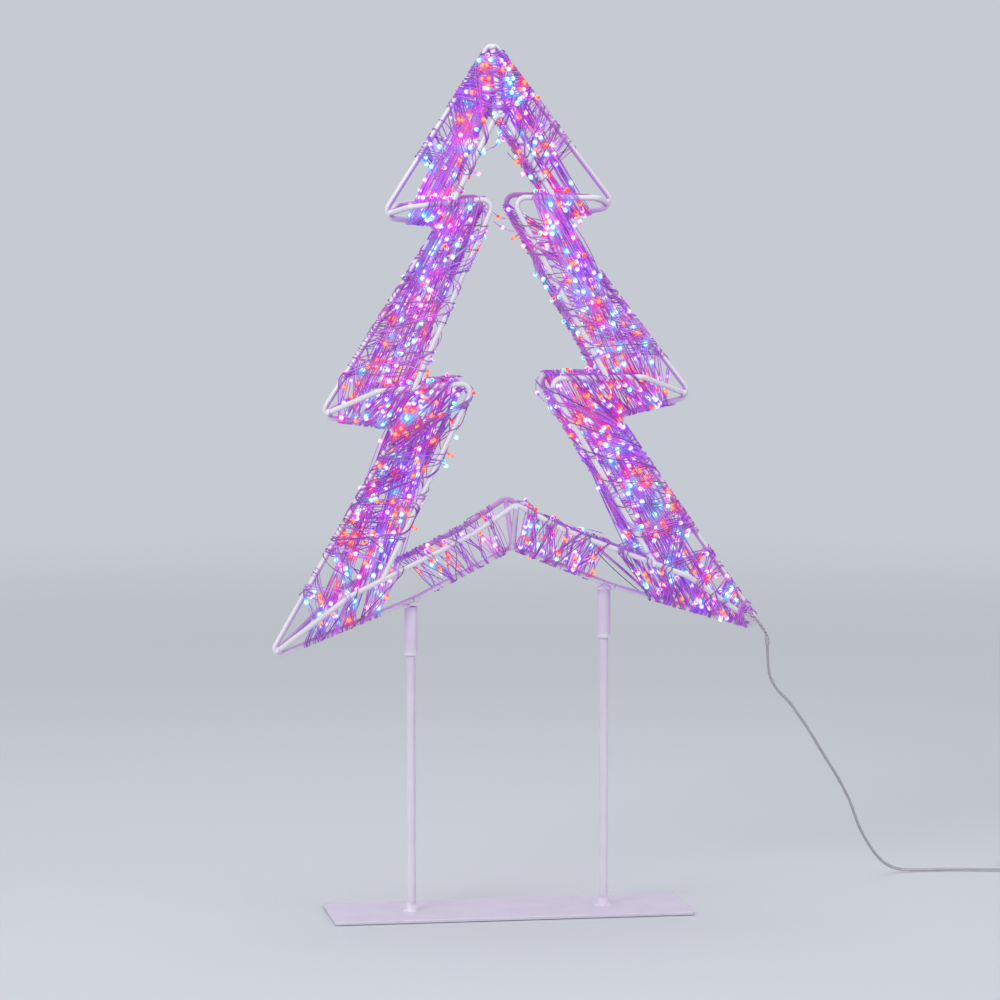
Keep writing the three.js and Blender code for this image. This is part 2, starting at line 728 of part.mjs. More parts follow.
// The coil: layers that spiral in and out again, each climb made over the stretch where the spiral reverses
function coilPoints() {
  const span = turnsPerLayer * coilTurnPitch;
  const outer = (coilMiddleDiameter + span) / 2;
  const base = cordDiameter / 2 + tieThickness + tieClearance;
  const steps = coilLayers * turnsPerLayer * coilSteps;
  const points = [];
  for (let i = 0; i <= steps; i += 1) {
    const turn = i / coilSteps;
    const layer = Math.min(Math.floor(turn / turnsPerLayer), coilLayers - 1);
    const inLayer = turn / turnsPerLayer - layer;
    const radius = outer - span * (layer % 2 === 0 ? inLayer : 1 - inLayer);
    const nearest = Math.round(turn / turnsPerLayer);
    const climbing = nearest > 0 && nearest < coilLayers;
    const past = THREE.MathUtils.clamp((turn - nearest * turnsPerLayer) / coilClimbTurns + 0.5, 0, 1);
    const height = base + coilLayerPitch * (climbing ? nearest - 1 + past : layer);
    const angle = 2 * Math.PI * turn - Math.PI / 2;
    const [x, y] = [radius * Math.cos(angle), radius * Math.sin(angle)];
    points.push(point(coilCentre.x + x, coilCentre.y + y, height));
  }
  points.unshift(points[0].clone().add(point(-cordDiameter, 0, 0)));
  points.push(points.at(-1).clone().add(point(coilLooseEnd, 0, 0)));
  return points;
}

// Flat strap round the turns, at one place of the coil
function coilStrap() {
  const span = turnsPerLayer * coilTurnPitch + cordDiameter + 2 * tieClearance;
  const tall = (coilLayers - 1) * coilLayerPitch + cordDiameter + 2 * tieClearance;
  const loop = (grow) => roundedRectangle(span / 2 + grow, tall / 2 + grow, tieCorner);
  const outline = loop(tieThickness);
  outline.holes.push(loop(0));
  const strap = prism(outline, tieWidth);
  strap.translate(0, 0, -tieWidth / 2).rotateX(Math.PI / 2);
  return strap.translate(coilCentre.x - coilMiddleDiameter / 2, coilCentre.y, tall / 2 + tieThickness);
}

function binding() {
  const points = bindingWire();
  const radii = points.map(() => bindingWireDiameter / 2);
  const { least } = leastGap(points, radii);
  console.log(`lead_tie: least gap to itself ${least.toFixed(2)} mm`);
  return wire(points, radii, bindingSides);
}

function coil() {
  const points = coilPoints();
  const radii = points.map(() => cordDiameter / 2);
  const { least, length } = leastGap(points, radii);
  const metres = (length / 1000).toFixed(2);
  console.log(`lead_coil: ${metres} m of cord, least gap to itself ${least.toFixed(2)} mm`);
  return wire(points, radii, cordSides);
}

// Supply at the far end of the lead: relief, housing and two round pins, in line with the coil's loose end
function adapter() {
  const start = coilPoints().at(-1).clone();
  start.x += weldSeam;
  const alongX = (geometry) => geometry.rotateY(Math.PI / 2).translate(start.x, start.y, start.z);
  const [neck, wide] = [reliefNeckDiameter / 2, reliefDiameter / 2];
  const profile = [[0, 0], [neck, 0]];
  for (let rib = 0; rib < reliefRibs; rib += 1) {
    const from = reliefLength * (rib + 0.5) / (reliefRibs + 0.5);
    const base = neck + (wide - neck) * from / reliefLength;
    profile.push([base, from], [base + ribHeight, from], [base + ribHeight, from + ribWidth]);
    profile.push([base, from + ribWidth]);
  }
  profile.push([wide, reliefLength], [0, reliefLength]);
  add(group, 'adapter_relief', alongX(turned(profile, smallSides)), blackPlastic);

  const housing = prism(roundedRectangle(start.z, adapterWidth / 2, adapterEdge), adapterLength);
  const housingStart = reliefLength + weldSeam;
  add(group, 'adapter_housing', alongX(housing.translate(0, 0, housingStart)), blackPlastic);

  const radius = pinDiameter / 2;
  const from = housingStart + adapterLength + weldSeam;
  const pinProfile = [[0, from], [radius, from], [radius, from + pinLength - pinTaper],
    [radius - pinTaper, from + pinLength], [0, from + pinLength]];
  for (const [side, sign] of Object.entries(sides)) {
    const pin = alongX(turned(pinProfile, smallSides)).translate(0, sign * pinSpacing / 2, 0);
    add(group, `adapter_pin_${side}`, pin, nickelPlate);
  }
}

add(tree, 'lead_tie', binding(), silverWire);
const strandRadii = (points) => points.map(() => strandDiameter / 2);
for (const [name, phase] of [['lead_strand_a', 0], ['lead_strand_b', Math.PI]]) {
  const points = leadStrand(phase);
  add(group, name, wire(points, strandRadii(points), cordSides), clearCord);
}
add(group, 'lead_splice', splice(), clearCord);
add(group, 'lead_cable', bar(new StationPath(cordStations(route)), cordDiameter / 2), clearCord);
add(group, 'lead_coil', coil(), clearCord);
add(group, 'coil_tie', coilStrap(), blackPlastic);
adapter();

export default group;
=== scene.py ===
import math

import bpy
import numpy as np
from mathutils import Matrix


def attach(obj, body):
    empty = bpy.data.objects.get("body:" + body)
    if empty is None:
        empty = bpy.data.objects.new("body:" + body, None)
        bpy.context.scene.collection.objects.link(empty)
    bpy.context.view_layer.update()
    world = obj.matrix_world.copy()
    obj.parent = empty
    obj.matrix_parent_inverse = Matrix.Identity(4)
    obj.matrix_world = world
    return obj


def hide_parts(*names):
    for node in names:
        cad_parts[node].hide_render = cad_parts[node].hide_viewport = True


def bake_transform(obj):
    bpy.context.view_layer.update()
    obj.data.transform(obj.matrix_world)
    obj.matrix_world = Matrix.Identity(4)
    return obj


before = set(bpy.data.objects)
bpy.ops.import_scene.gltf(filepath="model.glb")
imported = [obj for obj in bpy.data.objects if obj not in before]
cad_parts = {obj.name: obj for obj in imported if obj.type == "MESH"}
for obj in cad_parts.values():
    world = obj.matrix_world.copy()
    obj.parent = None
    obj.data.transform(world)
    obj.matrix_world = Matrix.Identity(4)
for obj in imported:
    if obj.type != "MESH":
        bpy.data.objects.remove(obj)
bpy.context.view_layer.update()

scene = bpy.context.scene
scene.view_settings.view_transform = "Standard"
mm = 0.001
rng = np.random.default_rng(26)


# sRGB hex to linear RGBA, by the sRGB curve
def srgb(code, alpha=1.0):
    parts = np.array([int(code[i:i + 2], 16) for i in (1, 3, 5)]) / 255
    linear = np.where(parts <= 0.04045, parts / 12.92, ((parts + 0.055) / 1.055) ** 2.4)
    return (*(float(v) for v in linear), alpha)


# Adds one shader node with its settings and links: an input is a number, a colour or the output socket that feeds it
def addNode(tree, kind, settings=None, inputs=None):
    made = tree.nodes.new("ShaderNode" + kind)
    for name, value in (settings or {}).items():
        setattr(made, name, value)
    for name, value in (inputs or {}).items():
        if isinstance(value, bpy.types.NodeSocket):
            tree.links.new(value, made.inputs[name])
        else:
            made.inputs[name].default_value = value
    return made


# A material with a principled shader, whose plain inputs are set on the shader's own sockets
def newMaterial(name, inputs):
    made = bpy.data.materials.new(name)
    made.use_nodes = True
    tree = made.node_tree
    tree.nodes.clear()
    shader = addNode(tree, "BsdfPrincipled", inputs=inputs)
    addNode(tree, "OutputMaterial", inputs={"Surface": shader.outputs["BSDF"]})
    return made, tree, shader


# Camera where the photograph was taken from, found from the corners of the frame in it
photoCamera = {
    "place": (-0.7218, -4.4417, 0.8412),
    "yaw": 9.139,
    "pitch": -5.821,
    "lens": 177.17,
    "sensor": 36.0,
    "seesTo": 100,
}
camera = bpy.data.objects.new("camera", bpy.data.cameras.new("camera"))
camera.data.lens = photoCamera["lens"]
camera.data.sensor_width = photoCamera["sensor"]
camera.data.clip_end = photoCamera["seesTo"]
camera.location = photoCamera["place"]
camera.rotation_euler = (math.radians(90 + photoCamera["pitch"]), 0, math.radians(-photoCamera["yaw"]))
scene.collection.objects.link(camera)
scene.camera = camera
print("camera set")


# Unit vectors along the last axis
def unit(v):
    return v / np.maximum(np.linalg.norm(v, axis=-1, keepdims=True), 1e-12)


# A row of points through corners, each inner corner rounded by an arc of its radius. The arc runs between the two
# points at radius / tan(half angle) from the corner, about the centre at radius / sin(half angle) on the bisector.
def bentPath(corners, radii, steps=8):
    corners = [np.asarray(c, float) for c in corners]
    points = [corners[0][None]]
    for before, corner, after, radius in zip(corners, corners[1:], corners[2:], radii):
        a, b = unit(before - corner), unit(after - corner)
        half = math.acos(float(np.clip(a @ b, -1, 1))) / 2
        centre = corner + unit(a + b) * radius / math.sin(half)
        start = corner + a * radius / math.tan(half) - centre
        end = corner + b * radius / math.tan(half) - centre
        turn = math.pi - 2 * half
        share = np.linspace(0, 1, steps + 1)[:, None]
        points.append(centre + (start * np.sin((1 - share) * turn) + end * np.sin(share * turn)) / math.sin(turn))
    points.append(corners[-1][None])
    return np.concatenate(points)


# The path again, with its own points and others between them, so that no two are further apart than step
def subdivided(path, step):
    at = np.concatenate([[0], np.cumsum(np.linalg.norm(np.diff(path, axis=0), axis=1))])
    wanted = np.concatenate([np.linspace(a, b, max(1, math.ceil((b - a) / step)), endpoint=False)
                             for a, b in zip(at, at[1:])] + [at[-1:]])
    return np.stack([np.interp(wanted, at, path[:, k]) for k in range(3)], axis=-1)


# Quads between the rows of grids of point numbers, each row closed on itself
def rowQuads(index):
    beside = np.roll(index, -1, axis=-1)
    corners = [index[..., :-1, :], index[..., 1:, :], beside[..., 1:, :], beside[..., :-1, :]]
    return np.stack(corners, axis=-1).reshape(-1, 4)


# Tubes along paths of shape (tubes, points, 3). At each point a section of [across, up] pairs stands square to the
# path, with up turned the way that towards points there. Both ends are closed.
def tubes(paths, section, towards):
    paths = np.asarray(paths, float)
    tangent = unit(np.gradient(paths, axis=1))
    across = unit(np.cross(tangent, np.broadcast_to(towards, paths.shape)))
    up = np.cross(across, tangent)
    section = np.asarray(section, float)
    section = np.broadcast_to(section, (*paths.shape[:2], *section.shape[-2:]))
    points = paths[:, :, None] + section[..., :1] * across[:, :, None] + section[..., 1:] * up[:, :, None]
    index = np.arange(points[..., 0].size).reshape(points.shape[:3])
    return points.reshape(-1, 3), rowQuads(index).tolist() + index[:, 0].tolist() + index[:, -1, ::-1].tolist()


# A round section: sides corners at one radius, or at a radius for each point of the path
def roundSection(radius, sides):
    angle = 2 * np.pi * (np.arange(sides) + 0.5) / sides
    circle = np.stack([np.cos(angle), np.sin(angle)], axis=-1)
    return np.asarray(radius, float)[..., None, None] * circle


# Several point-and-face lists as one
def joined(parts):
    points, faces, base = [], [], 0
    for partPoints, partFaces in parts:
        points.append(partPoints)
        faces += [[i + base for i in face] for face in partFaces]
        base += len(partPoints)
    return np.concatenate(points), faces


# Places the tree's own upright millimetres on the leaning tree: turned by the lean about a point on its middle line
treeLean = {"angle": math.radians(2.4), "height": 450}


def leaning(points):
    c, s = math.cos(treeLean["angle"]), math.sin(treeLean["angle"])
    x, z = points[..., 0], points[..., 2] - treeLean["height"]
    return np.stack([x * c - z * s, points[..., 1], treeLean["height"] + x * s + z * c], axis=-1)


# A mesh object in metres from millimetre points, shaded smooth up to the given angle between faces
def newPiece(name, shape, made, body, smooth=40):
    points, faces = shape
    mesh = bpy.data.meshes.new(name)
    mesh.from_pydata((np.asarray(points) * mm).tolist(), [], faces)
    mesh.update()
    mesh.polygons.foreach_set("use_smooth", np.ones(len(mesh.polygons), bool))
    mesh.set_sharp_from_angle(angle=math.radians(smooth))
    mesh.materials.append(made)
    piece = bpy.data.objects.new(name, mesh)
    scene.collection.objects.link(piece)
    if body:
        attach(piece, body)
    return piece


# Light clear flex: the lead's line, hung from the joint under the tip, laid on the floor and wound into its coil
lead = {
    "diameter": 3.0, "sides": 16, "lobeRadius": 0.95, "lobeOffset": 0.55, "waist": 0.2, "waistDepth": 0.8,
    "hangingUp": (0.62, -0.78, 0.0), "turnsFrom": 0.6, "turnsOver": 0.3, "curveSteps": 6,
    "route": [
        [243.3, -6, 243], [244.2, -4.2, 230], [247.5, 2, 214], [256.5, 10, 199.5], [270, 19, 186],
        [283, 28, 169.5], [295.5, 38, 152.5], [311.5, 53, 129.5], [328, 69, 106.5], [337.5, 80, 92],
        [345, 89, 79.5], [351.5, 97.5, 66], [358, 105.5, 52.5], [367, 114, 37.5], [378, 122.5, 22.5],
        [389.5, 130, 11.2], [402, 135.5, 4.6], [417, 138.8, 2], [436, 139.6, 1.6], [458, 138, 1.6],
        [480, 134, 1.6], [502, 128.7, 1.7], [522, 124.4, 2.1], [540, 122.3, 2.55],
    ],
    "coilCentre": (558, 150), "coilMiddle": 36, "turnPitch": 3.65, "layerPitch": 3.5, "layers": 4,
    "turnsPerLayer": 5.5, "climbTurns": 0.5, "base": 2.65, "looseEnd": 18, "stepsPerTurn": 28,
}


# A smooth curve through points: between two points, the cubic whose slopes are half the step from the point before to
# the point after
def smoothCurve(points, steps):
    p = np.asarray(points, float)
    p = np.concatenate([2 * p[:1] - p[1:2], p, 2 * p[-1:] - p[-2:-1]])
    t = np.linspace(0, 1, steps, endpoint=False)[None, :, None]
    a, b, c, d = (p[i:len(p) - 3 + i][:, None] for i in range(4))
    curve = 0.5 * (2 * b + (c - a) * t + (2 * a - 5 * b + 4 * c - d) * t ** 2 + (3 * b - a - 3 * c + d) * t ** 3)
    return np.concatenate([curve.reshape(-1, 3), p[-2:-1]])


# The coil: its radius shrinks and grows again steadily, layer by layer, and its height climbs over the stretch where
# the radius turns back
def coilLine(s):
    span = s["turnsPerLayer"] * s["turnPitch"]
    turns = s["layers"] * s["turnsPerLayer"]
    turn = np.linspace(0, turns, round(turns * s["stepsPerTurn"]) + 1)
    layer = np.minimum(np.floor(turn / s["turnsPerLayer"]), s["layers"] - 1)
    inLayer = turn / s["turnsPerLayer"] - layer
    radius = (s["coilMiddle"] + span) / 2 - span * np.where(layer % 2 == 0, inLayer, 1 - inLayer)
    nearest = np.round(turn / s["turnsPerLayer"])
    past = np.clip((turn - nearest * s["turnsPerLayer"]) / s["climbTurns"] + 0.5, 0, 1)
    climbing = (nearest > 0) & (nearest < s["layers"])
    height = s["base"] + s["layerPitch"] * np.where(climbing, nearest - 1 + past, layer)
    angle = 2 * np.pi * turn - np.pi / 2
    x, y = s["coilCentre"]
    coil = np.stack([x + radius * np.cos(angle), y + radius * np.sin(angle), height], axis=-1)
    return np.concatenate([coil[:1] - [s["diameter"], 0, 0], coil, coil[-1:] + [s["looseEnd"], 0, 0]])


coilPath = coilLine(lead)
leadPath = np.concatenate([smoothCurve(lead["route"] + coilPath[:1].tolist(), lead["curveSteps"])[:-1], coilPath])
freePoints = len(leadPath) - len(coilPath)

# The flex is two round cores side by side, with a waist between them. Its flat side faces the hanging stretch's own
# plane, then turns down.
flexAngle = np.linspace(0, 2 * np.pi, lead["sides"], endpoint=False)
flexSection = np.stack([
    lead["lobeRadius"] * np.cos(flexAngle) + np.sign(np.cos(flexAngle)) * lead["lobeOffset"],
    lead["lobeRadius"] * np.sin(flexAngle) * np.where(np.abs(np.cos(flexAngle)) < lead["waist"], lead["waistDepth"], 1),
], axis=-1)
lying = np.clip((np.arange(len(leadPath)) / freePoints - lead["turnsFrom"]) / lead["turnsOver"], 0, 1)[:, None]
flexUp = unit((1 - lying) * np.array(lead["hangingUp"]) + lying * np.array([0, 0, 1.0]))


# Frame of the tree in its own upright millimetres, on the right-hand side. Heights count from the ground.
frameSizes = {
    "rod": 5.0, "depth": 60, "tipBend": 8, "bottomTipBend": 5, "notchBend": 8, "innerBend": 8, "apexBend": 6,
    "bottomTip": (231, 249), "bottomKnee": (92, 297), "bottomPeak": (0, 339),
    "lowerNotch": (101, 455), "middleTip": (173.5, 469), "upperNotch": (54, 639), "topTip": (108.5, 647.5),
    "apex": (0, 802.5), "innerApex": (0, 742.5), "apexFoot": 46.5,
    "middleCorner": (6.8, 661.5), "middleKnee": (87.5, 657), "middleFoot": 89,
    "lowerCorner": (33, 495), "lowerKnee": (122.5, 491.5), "lowerFoot": 126,
    "chevronPeak": (0, 381.5), "chevronShoulder": (42, 356), "chevronKnee": (157, 306),
    "seat": 2.8, "ringStep": 4, "sides": 16,
    # The struts' ends: above or below the corners they join, and beside the middle plane
    "apexStrut": (-6, -4), "peakStrut": (2, -3), "strutAside": 2.5,
    # Radii of the weld lumps, and their shape
    "footWeld": 3.2, "seatWeld": 3.4, "strutWelds": (3.3, 2.9), "weldLong": 1.2, "kneeDrop": 0.5,
}


# A corner of the frame, at a depth y
def corner(name, y=0.0):
    x, z = frameSizes[name]
    return np.array([x, y, z], float)


# The point of a run of corners at a distance from the middle line
def overAt(corners, x):
    ordered = sorted(corners, key=lambda p: p[0])
    xs = [p[0] for p in ordered]
    return np.array([x, corners[0][1], np.interp(x, xs, [p[2] for p in ordered])])


# Where an inner rod ends, against the inside of a bent tip of the outer rod
def seatAt(before, tip, after, bend, y):
    middle = bentPath([before, tip, after], [bend], 2)[2]
    place = middle + unit(middle - tip) * frameSizes["seat"]
    place[1] = math.copysign(frameSizes["seat"], y)
    return place


mirror = np.array([-1, 1, 1.0])
outerCorners = [corner(n) for n in ("apex", "topTip", "upperNotch", "middleTip", "lowerNotch", "bottomTip",
                                    "bottomKnee", "bottomPeak")]
f = frameSizes
outerBends = [f["tipBend"], f["notchBend"], f["tipBend"], f["notchBend"], f["bottomTipBend"], f["innerBend"]]
outerHalf = bentPath([outerCorners[1] * mirror, *outerCorners, outerCorners[-2] * mirror],
                     [f["apexBend"], *outerBends, f["innerBend"]])
outerHalf = outerHalf[outerHalf[:, 0] > -1e-6]


# The inner rods of one plane: corner lists of the right-hand side
def innerRods(y):
    chevron = [corner("chevronPeak", y), corner("chevronShoulder", y), corner("chevronKnee", y),
               seatAt(corner("lowerNotch"), corner("bottomTip"), corner("bottomKnee"), f["bottomTipBend"], y)]
    lower = [seatAt(corner("upperNotch"), corner("middleTip"), corner("lowerNotch"), f["tipBend"], y),
             corner("lowerKnee", y), corner("lowerCorner", y), overAt(chevron, f["lowerFoot"])]
    middle = [seatAt(corner("apex"), corner("topTip"), corner("upperNotch"), f["tipBend"], y),
              corner("middleKnee", y), corner("middleCorner", y), overAt(lower[1:3], f["middleFoot"])]
    top = [corner("innerApex", y), overAt(middle[1:3], f["apexFoot"])]
    return {"chevron": chevron, "lower": lower, "middle": middle, "top": top}


planes = {"front": innerRods(-f["depth"] / 2), "back": innerRods(f["depth"] / 2)}
signs = {"left": mirror, "right": np.ones(3)}
print("frame worked out")

# Light strings. Each region is wound as stretches of its rods, each from one share of a line to another; a line with
# two stretches leaves out the bare corner between them.
stringSizes = {
    "wire": 1.0, "binding": 0.85, "sides": 4, "arc": 5, "arcRound": 2.4, "lap": 16.0, "layer": 0.25, "fan": (0.1, 1.9),
    "bow": 1.0, "bowLeast": 0.3, "wobble": 0.9, "slackSpan": 50, "stray": 1.0, "own": 0.6, "straySteps": 24,
    "dropSpacing": 124, "standOff": 1.1, "tailShare": 0.07, "tail": (4.0, 7.5), "tailSteps": 5, "tailBend": 1.2,
}
# Ways of winding: strands side by side and how far apart, the share of a rail that each contact moves on (evenly if
# None), how much the contacts wander, how slack the runs are, how far the pass stands off the ones before it, and
# the points of a run between two rods
passKinds = {
    "long": {"bundle": 3, "spread": 3.2, "advance": None, "wander": 0.13, "slack": 0.8, "out": 0.0, "run": 36},
    "steep": {"bundle": 2, "spread": 2.6, "advance": (0.1, 0.42), "wander": 0.0, "slack": 1.3, "out": 0.05, "run": 18},
    "loose": {"bundle": 3, "spread": 2.0, "advance": None, "wander": 0.06, "slack": 1.3, "out": 0.15, "run": 12},
    "tidy": {"bundle": 3, "spread": 1.6, "advance": None, "wander": 0.03, "slack": 0.8, "out": 0.1, "run": 12},
    "pair": {"bundle": 2, "spread": 1.8, "advance": None, "wander": 0.06, "slack": 1.3, "out": 0.1, "run": 12},
    "single": {"bundle": 1, "spread": 0.0, "advance": None, "wander": 0.05, "slack": 1.3, "out": 0.05, "run": 14},
    "binding": {"bundle": 1, "spread": 0.0, "advance": None, "wander": 0.02, "slack": 0.8, "out": 0.3, "run": 8},
}


# The stretch of a line between two shares of its length
def stretch(a, b, start, end):
    return np.stack([a + (b - a) * start, a + (b - a) * end])


# Stretches in a row as one rail: its points, and how far along each lies, with no length in the gaps between
def rail(*stretches):
    points, at, reached = [], [], 0.0
    for piece in stretches:
        steps = np.concatenate([[0], np.cumsum(np.linalg.norm(np.diff(piece, axis=0), axis=1))])
        points.append(piece)
        at.append(reached + steps)
        reached += steps[-1]
    return np.concatenate(points), np.concatenate(at)


# The point of a rail at each share of its length
def onRail(oneRail, share):
    points, at = oneRail
    return np.stack([np.interp(share * at[-1], at, points[:, k]) for k in range(3)], axis=-1)


# Strands wound round rails. Contact i touches rail i mod n, at a share that grows evenly with a wander, or by random
# advances, and is folded back at both ends. A bundle's strands lie beside each other and fan out and in. A strand
# goes round the rod on an arc from the way in to the way out by way of the side away from the middle of the rails,
# and moves along the rod by the lap times its slope meanwhile. Between two rods it bows by half a sine wave and
# wobbles by a whole one.
def wind(rails, loops, kind):
    s, n, bundle = stringSizes, len(rails), kind["bundle"]
    contacts = loops * n + 1
    length = float(np.mean([r[1][-1] for r in rails]))
    if kind["advance"]:
        share = rng.random() * 2 + np.cumsum(rng.uniform(*kind["advance"], contacts))
    else:
        share = (np.arange(contacts) + rng.random()) / contacts + rng.normal(0, kind["wander"], contacts)
    aside = (np.arange(bundle) - (bundle - 1) / 2) * kind["spread"] / length
    share = share + aside[:, None] * rng.uniform(*s["fan"], contacts)
    share = share + rng.normal(0, s["stray"] / length, (bundle, contacts))
    share = 1 - np.abs(1 - np.abs(share) % 2)
    place = np.zeros((bundle, contacts, 3))
    for k in range(n):
        place[:, k::n] = onRail(rails[k], share[:, k::n])
    centre = np.mean([onRail(r, share) for r in rails], axis=0)
    axis = unit(np.sum([r[0][-1] - r[0][0] for r in rails], axis=0))
    run = np.diff(place, axis=1)
    normal = unit(np.cross(run, axis))
    middle = (place[:, 1:] + place[:, :-1] - centre[:, 1:] - centre[:, :-1]) / 2
    if n > 2:
        normal = normal * np.where((normal * middle).sum(-1, keepdims=True) < 0, -1, 1)
    arriving = np.concatenate([normal[:, :1], normal], axis=1)[:, :, None]
    leaving = np.concatenate([normal, normal[:, -1:]], axis=1)[:, :, None]
    bend = np.linspace(0, 1, s["arc"])[None, None, :, None]
    away = place - centre
    away = unit(away - (away @ axis)[..., None] * axis)[:, :, None]
    outward = unit(arriving * (1 - bend) ** 2 + s["arcRound"] * away * bend * (1 - bend) + leaving * bend ** 2)
    offRod = (f["rod"] + s["wire"]) / 2 + kind["out"] + np.abs(rng.normal(0, s["layer"], (bundle, contacts)))
    slope = unit(run) @ axis
    travel = (np.concatenate([slope[:, :1], slope], axis=1) + np.concatenate([slope, slope[:, -1:]], axis=1)) / 2
    lap = s["lap"] * travel[:, :, None, None] * (bend - 0.5) * axis
    arcs = place[:, :, None] + outward * offRod[:, :, None, None] + lap
    t = (np.arange(kind["run"]) + 1)[None, None, :, None] / (kind["run"] + 1)
    slack = kind["slack"] * np.linalg.norm(run, axis=-1)[:, :, None, None] / s["slackSpan"]
    common = rng.normal(0, 1, (2, 1, contacts - 1)) + s["own"] * rng.normal(0, 1, (2, bundle, contacts - 1))
    bow = (s["bow"] * (s["bowLeast"] + common[0]))[:, :, None, None] * slack
    wobble = (s["wobble"] * common[1])[:, :, None, None] * slack
    runs = arcs[:, :-1, -1:] * (1 - t) + arcs[:, 1:, :1] * t
    runs = runs + leaving[:, :-1] * bow * np.sin(np.pi * t) + axis * wobble * np.sin(2 * np.pi * t)
    facing = np.broadcast_to(leaving[:, :-1], runs.shape)
    points = np.concatenate([np.concatenate([arcs[:, :-1], runs], axis=2).reshape(bundle, -1, 3), arcs[:, -1]], axis=1)
    outwards = np.concatenate([np.concatenate([outward[:, :-1], facing], axis=2).reshape(bundle, -1, 3),
                               outward[:, -1]], axis=1)
    spots = {"place": runs.reshape(-1, 3), "outward": facing.reshape(-1, 3),
             "along": np.broadcast_to(unit(run)[:, :, None], runs.shape).reshape(-1, 3)}
    return points, outwards, spots


# The part of a line between two distances from the middle line
def reach(a, b, start, end):
    return stretch(a, b, *((x - a[0]) / (b[0] - a[0]) for x in (start, end)))


# The rails of each region of the right-hand side. Numbers over one are distances from the middle line; those in a
# stretch are shares of its line.
def regions():
    c, sides, half = corner, (planes["front"], planes["back"]), f["depth"] / 2
    outer = {"top": (c("apex"), c("topTip")), "middle": (c("upperNotch"), c("middleTip")),
             "lower": (c("lowerNotch"), c("bottomTip"))}
    arm = {"top": (c("topTip"), c("upperNotch")), "middle": (c("middleTip"), c("lowerNotch")),
           "lower": (c("bottomTip"), c("bottomKnee"))}
    strut = lambda y: rail(stretch(c("apex", y / 12) - [0, 0, 6], c("innerApex", y) - [0, 0, 4], 0.04, 0.97))
    inner = lambda name, index, start, end: [rail(reach(*p[name][index:index + 2], start, end)) for p in sides]
    topBars, lowerBars = inner("middle", 1, 70, 38), inner("lower", 1, 117, 52)
    topInner, middleInner, lowerInner = inner("top", 0, 3, 44), inner("middle", 2, 10, 86), inner("lower", 2, 36, 123)
    topOuter, middleOuter = rail(reach(*outer["top"], 10, 72)), rail(reach(*outer["middle"], 57, 151))
    lowerOuter = rail(reach(*outer["lower"], 104, 172))

    # The four rails of a bottom limb's outer part, over the notch and along the chevron up to its seat
    def wedge(upper, lower, start, end):
        return [rail(reach(*outer["lower"], *upper)), rail(reach(*arm["lower"], *lower)),
                *(rail(reach(*p["chevron"][1:3], start, 157), stretch(*p["chevron"][2:], 0, end)) for p in sides)]

    # The three rails of a bottom limb's inner part, from the peak down
    def bottom(end, innerEnd):
        return [rail(reach(c("bottomPeak"), c("bottomKnee"), 4, end)),
                *(rail(reach(*p["chevron"][:2], 10, 42), reach(*p["chevron"][1:3], 42, innerEnd)) for p in sides)]

    left, right = (rail(reach(c("apex") * side, c("topTip") * side, 6 * side[0], 38 * side[0]))
                   for side in signs.values())
    bottomLeft, bottomRight = bottom(76, 108), bottom(70, 98)
    wedgeLeft, wedgeRight = wedge((150, 198), (140, 198), 95, 0.4), wedge((150, 216), (120, 209), 70, 0.8)
    return {
        "crown": [left, strut(-half), right, strut(half)],
        "topLong": [strut(half), rail(reach(*arm["top"], 85, 56))],
        "topSteep": [topOuter, topInner[1]], "topRound": [topOuter, *topInner],
        "topCap": [rail(reach(*arm["top"], 84, 54), reach(*outer["middle"], 54, 62)), *topBars],
        "middleLongLeft": [inner("middle", 1, 48, 16)[0], rail(reach(*arm["middle"], 154, 103))],
        "middleLongRight": [inner("middle", 1, 50, 27)[0], rail(reach(*arm["middle"], 154, 103))],
        "middleSteep": [middleOuter, middleInner[1]], "middleRound": [middleOuter, *middleInner],
        "middleSkirt": [rail(reach(*outer["middle"], 122, 152)), rail(reach(*arm["middle"][::-1], 116, 156))],
        "lowerCap": [rail(reach(*arm["middle"], 152, 101), reach(*outer["lower"], 101, 112)), *lowerBars],
        "lowerLongLeft": [inner("lower", 1, 84, 40)[1], rail(reach(*arm["lower"], 198, 126))],
        "lowerLongRight": [inner("lower", 1, 84, 40)[1], rail(reach(*arm["lower"], 209, 126))],
        "lowerSteep": [lowerOuter, lowerInner[1]], "lowerRound": [lowerOuter, *lowerInner],
        "wedgeStraightLeft": wedgeLeft[:2], "wedgeStraightRight": wedgeRight[:2],
        "wedgeLeft": [wedgeLeft[i] for i in (0, 2, 1, 3)], "wedgeRight": [wedgeRight[i] for i in (0, 2, 1, 3)],
        "bottomBackLeft": bottomLeft[::2], "bottomRoundLeft": bottomLeft,
        "bottomBackRight": bottomRight[::2], "bottomRoundRight": bottomRight,
        "tip": [rail(reach(*outer["lower"], 215, 222)), rail(stretch(*planes["front"]["chevron"][2:], 0.78, 0.88)),
                rail(reach(*arm["lower"][::-1], 208, 219)), rail(stretch(*planes["back"]["chevron"][2:], 0.78, 0.88))],
    }


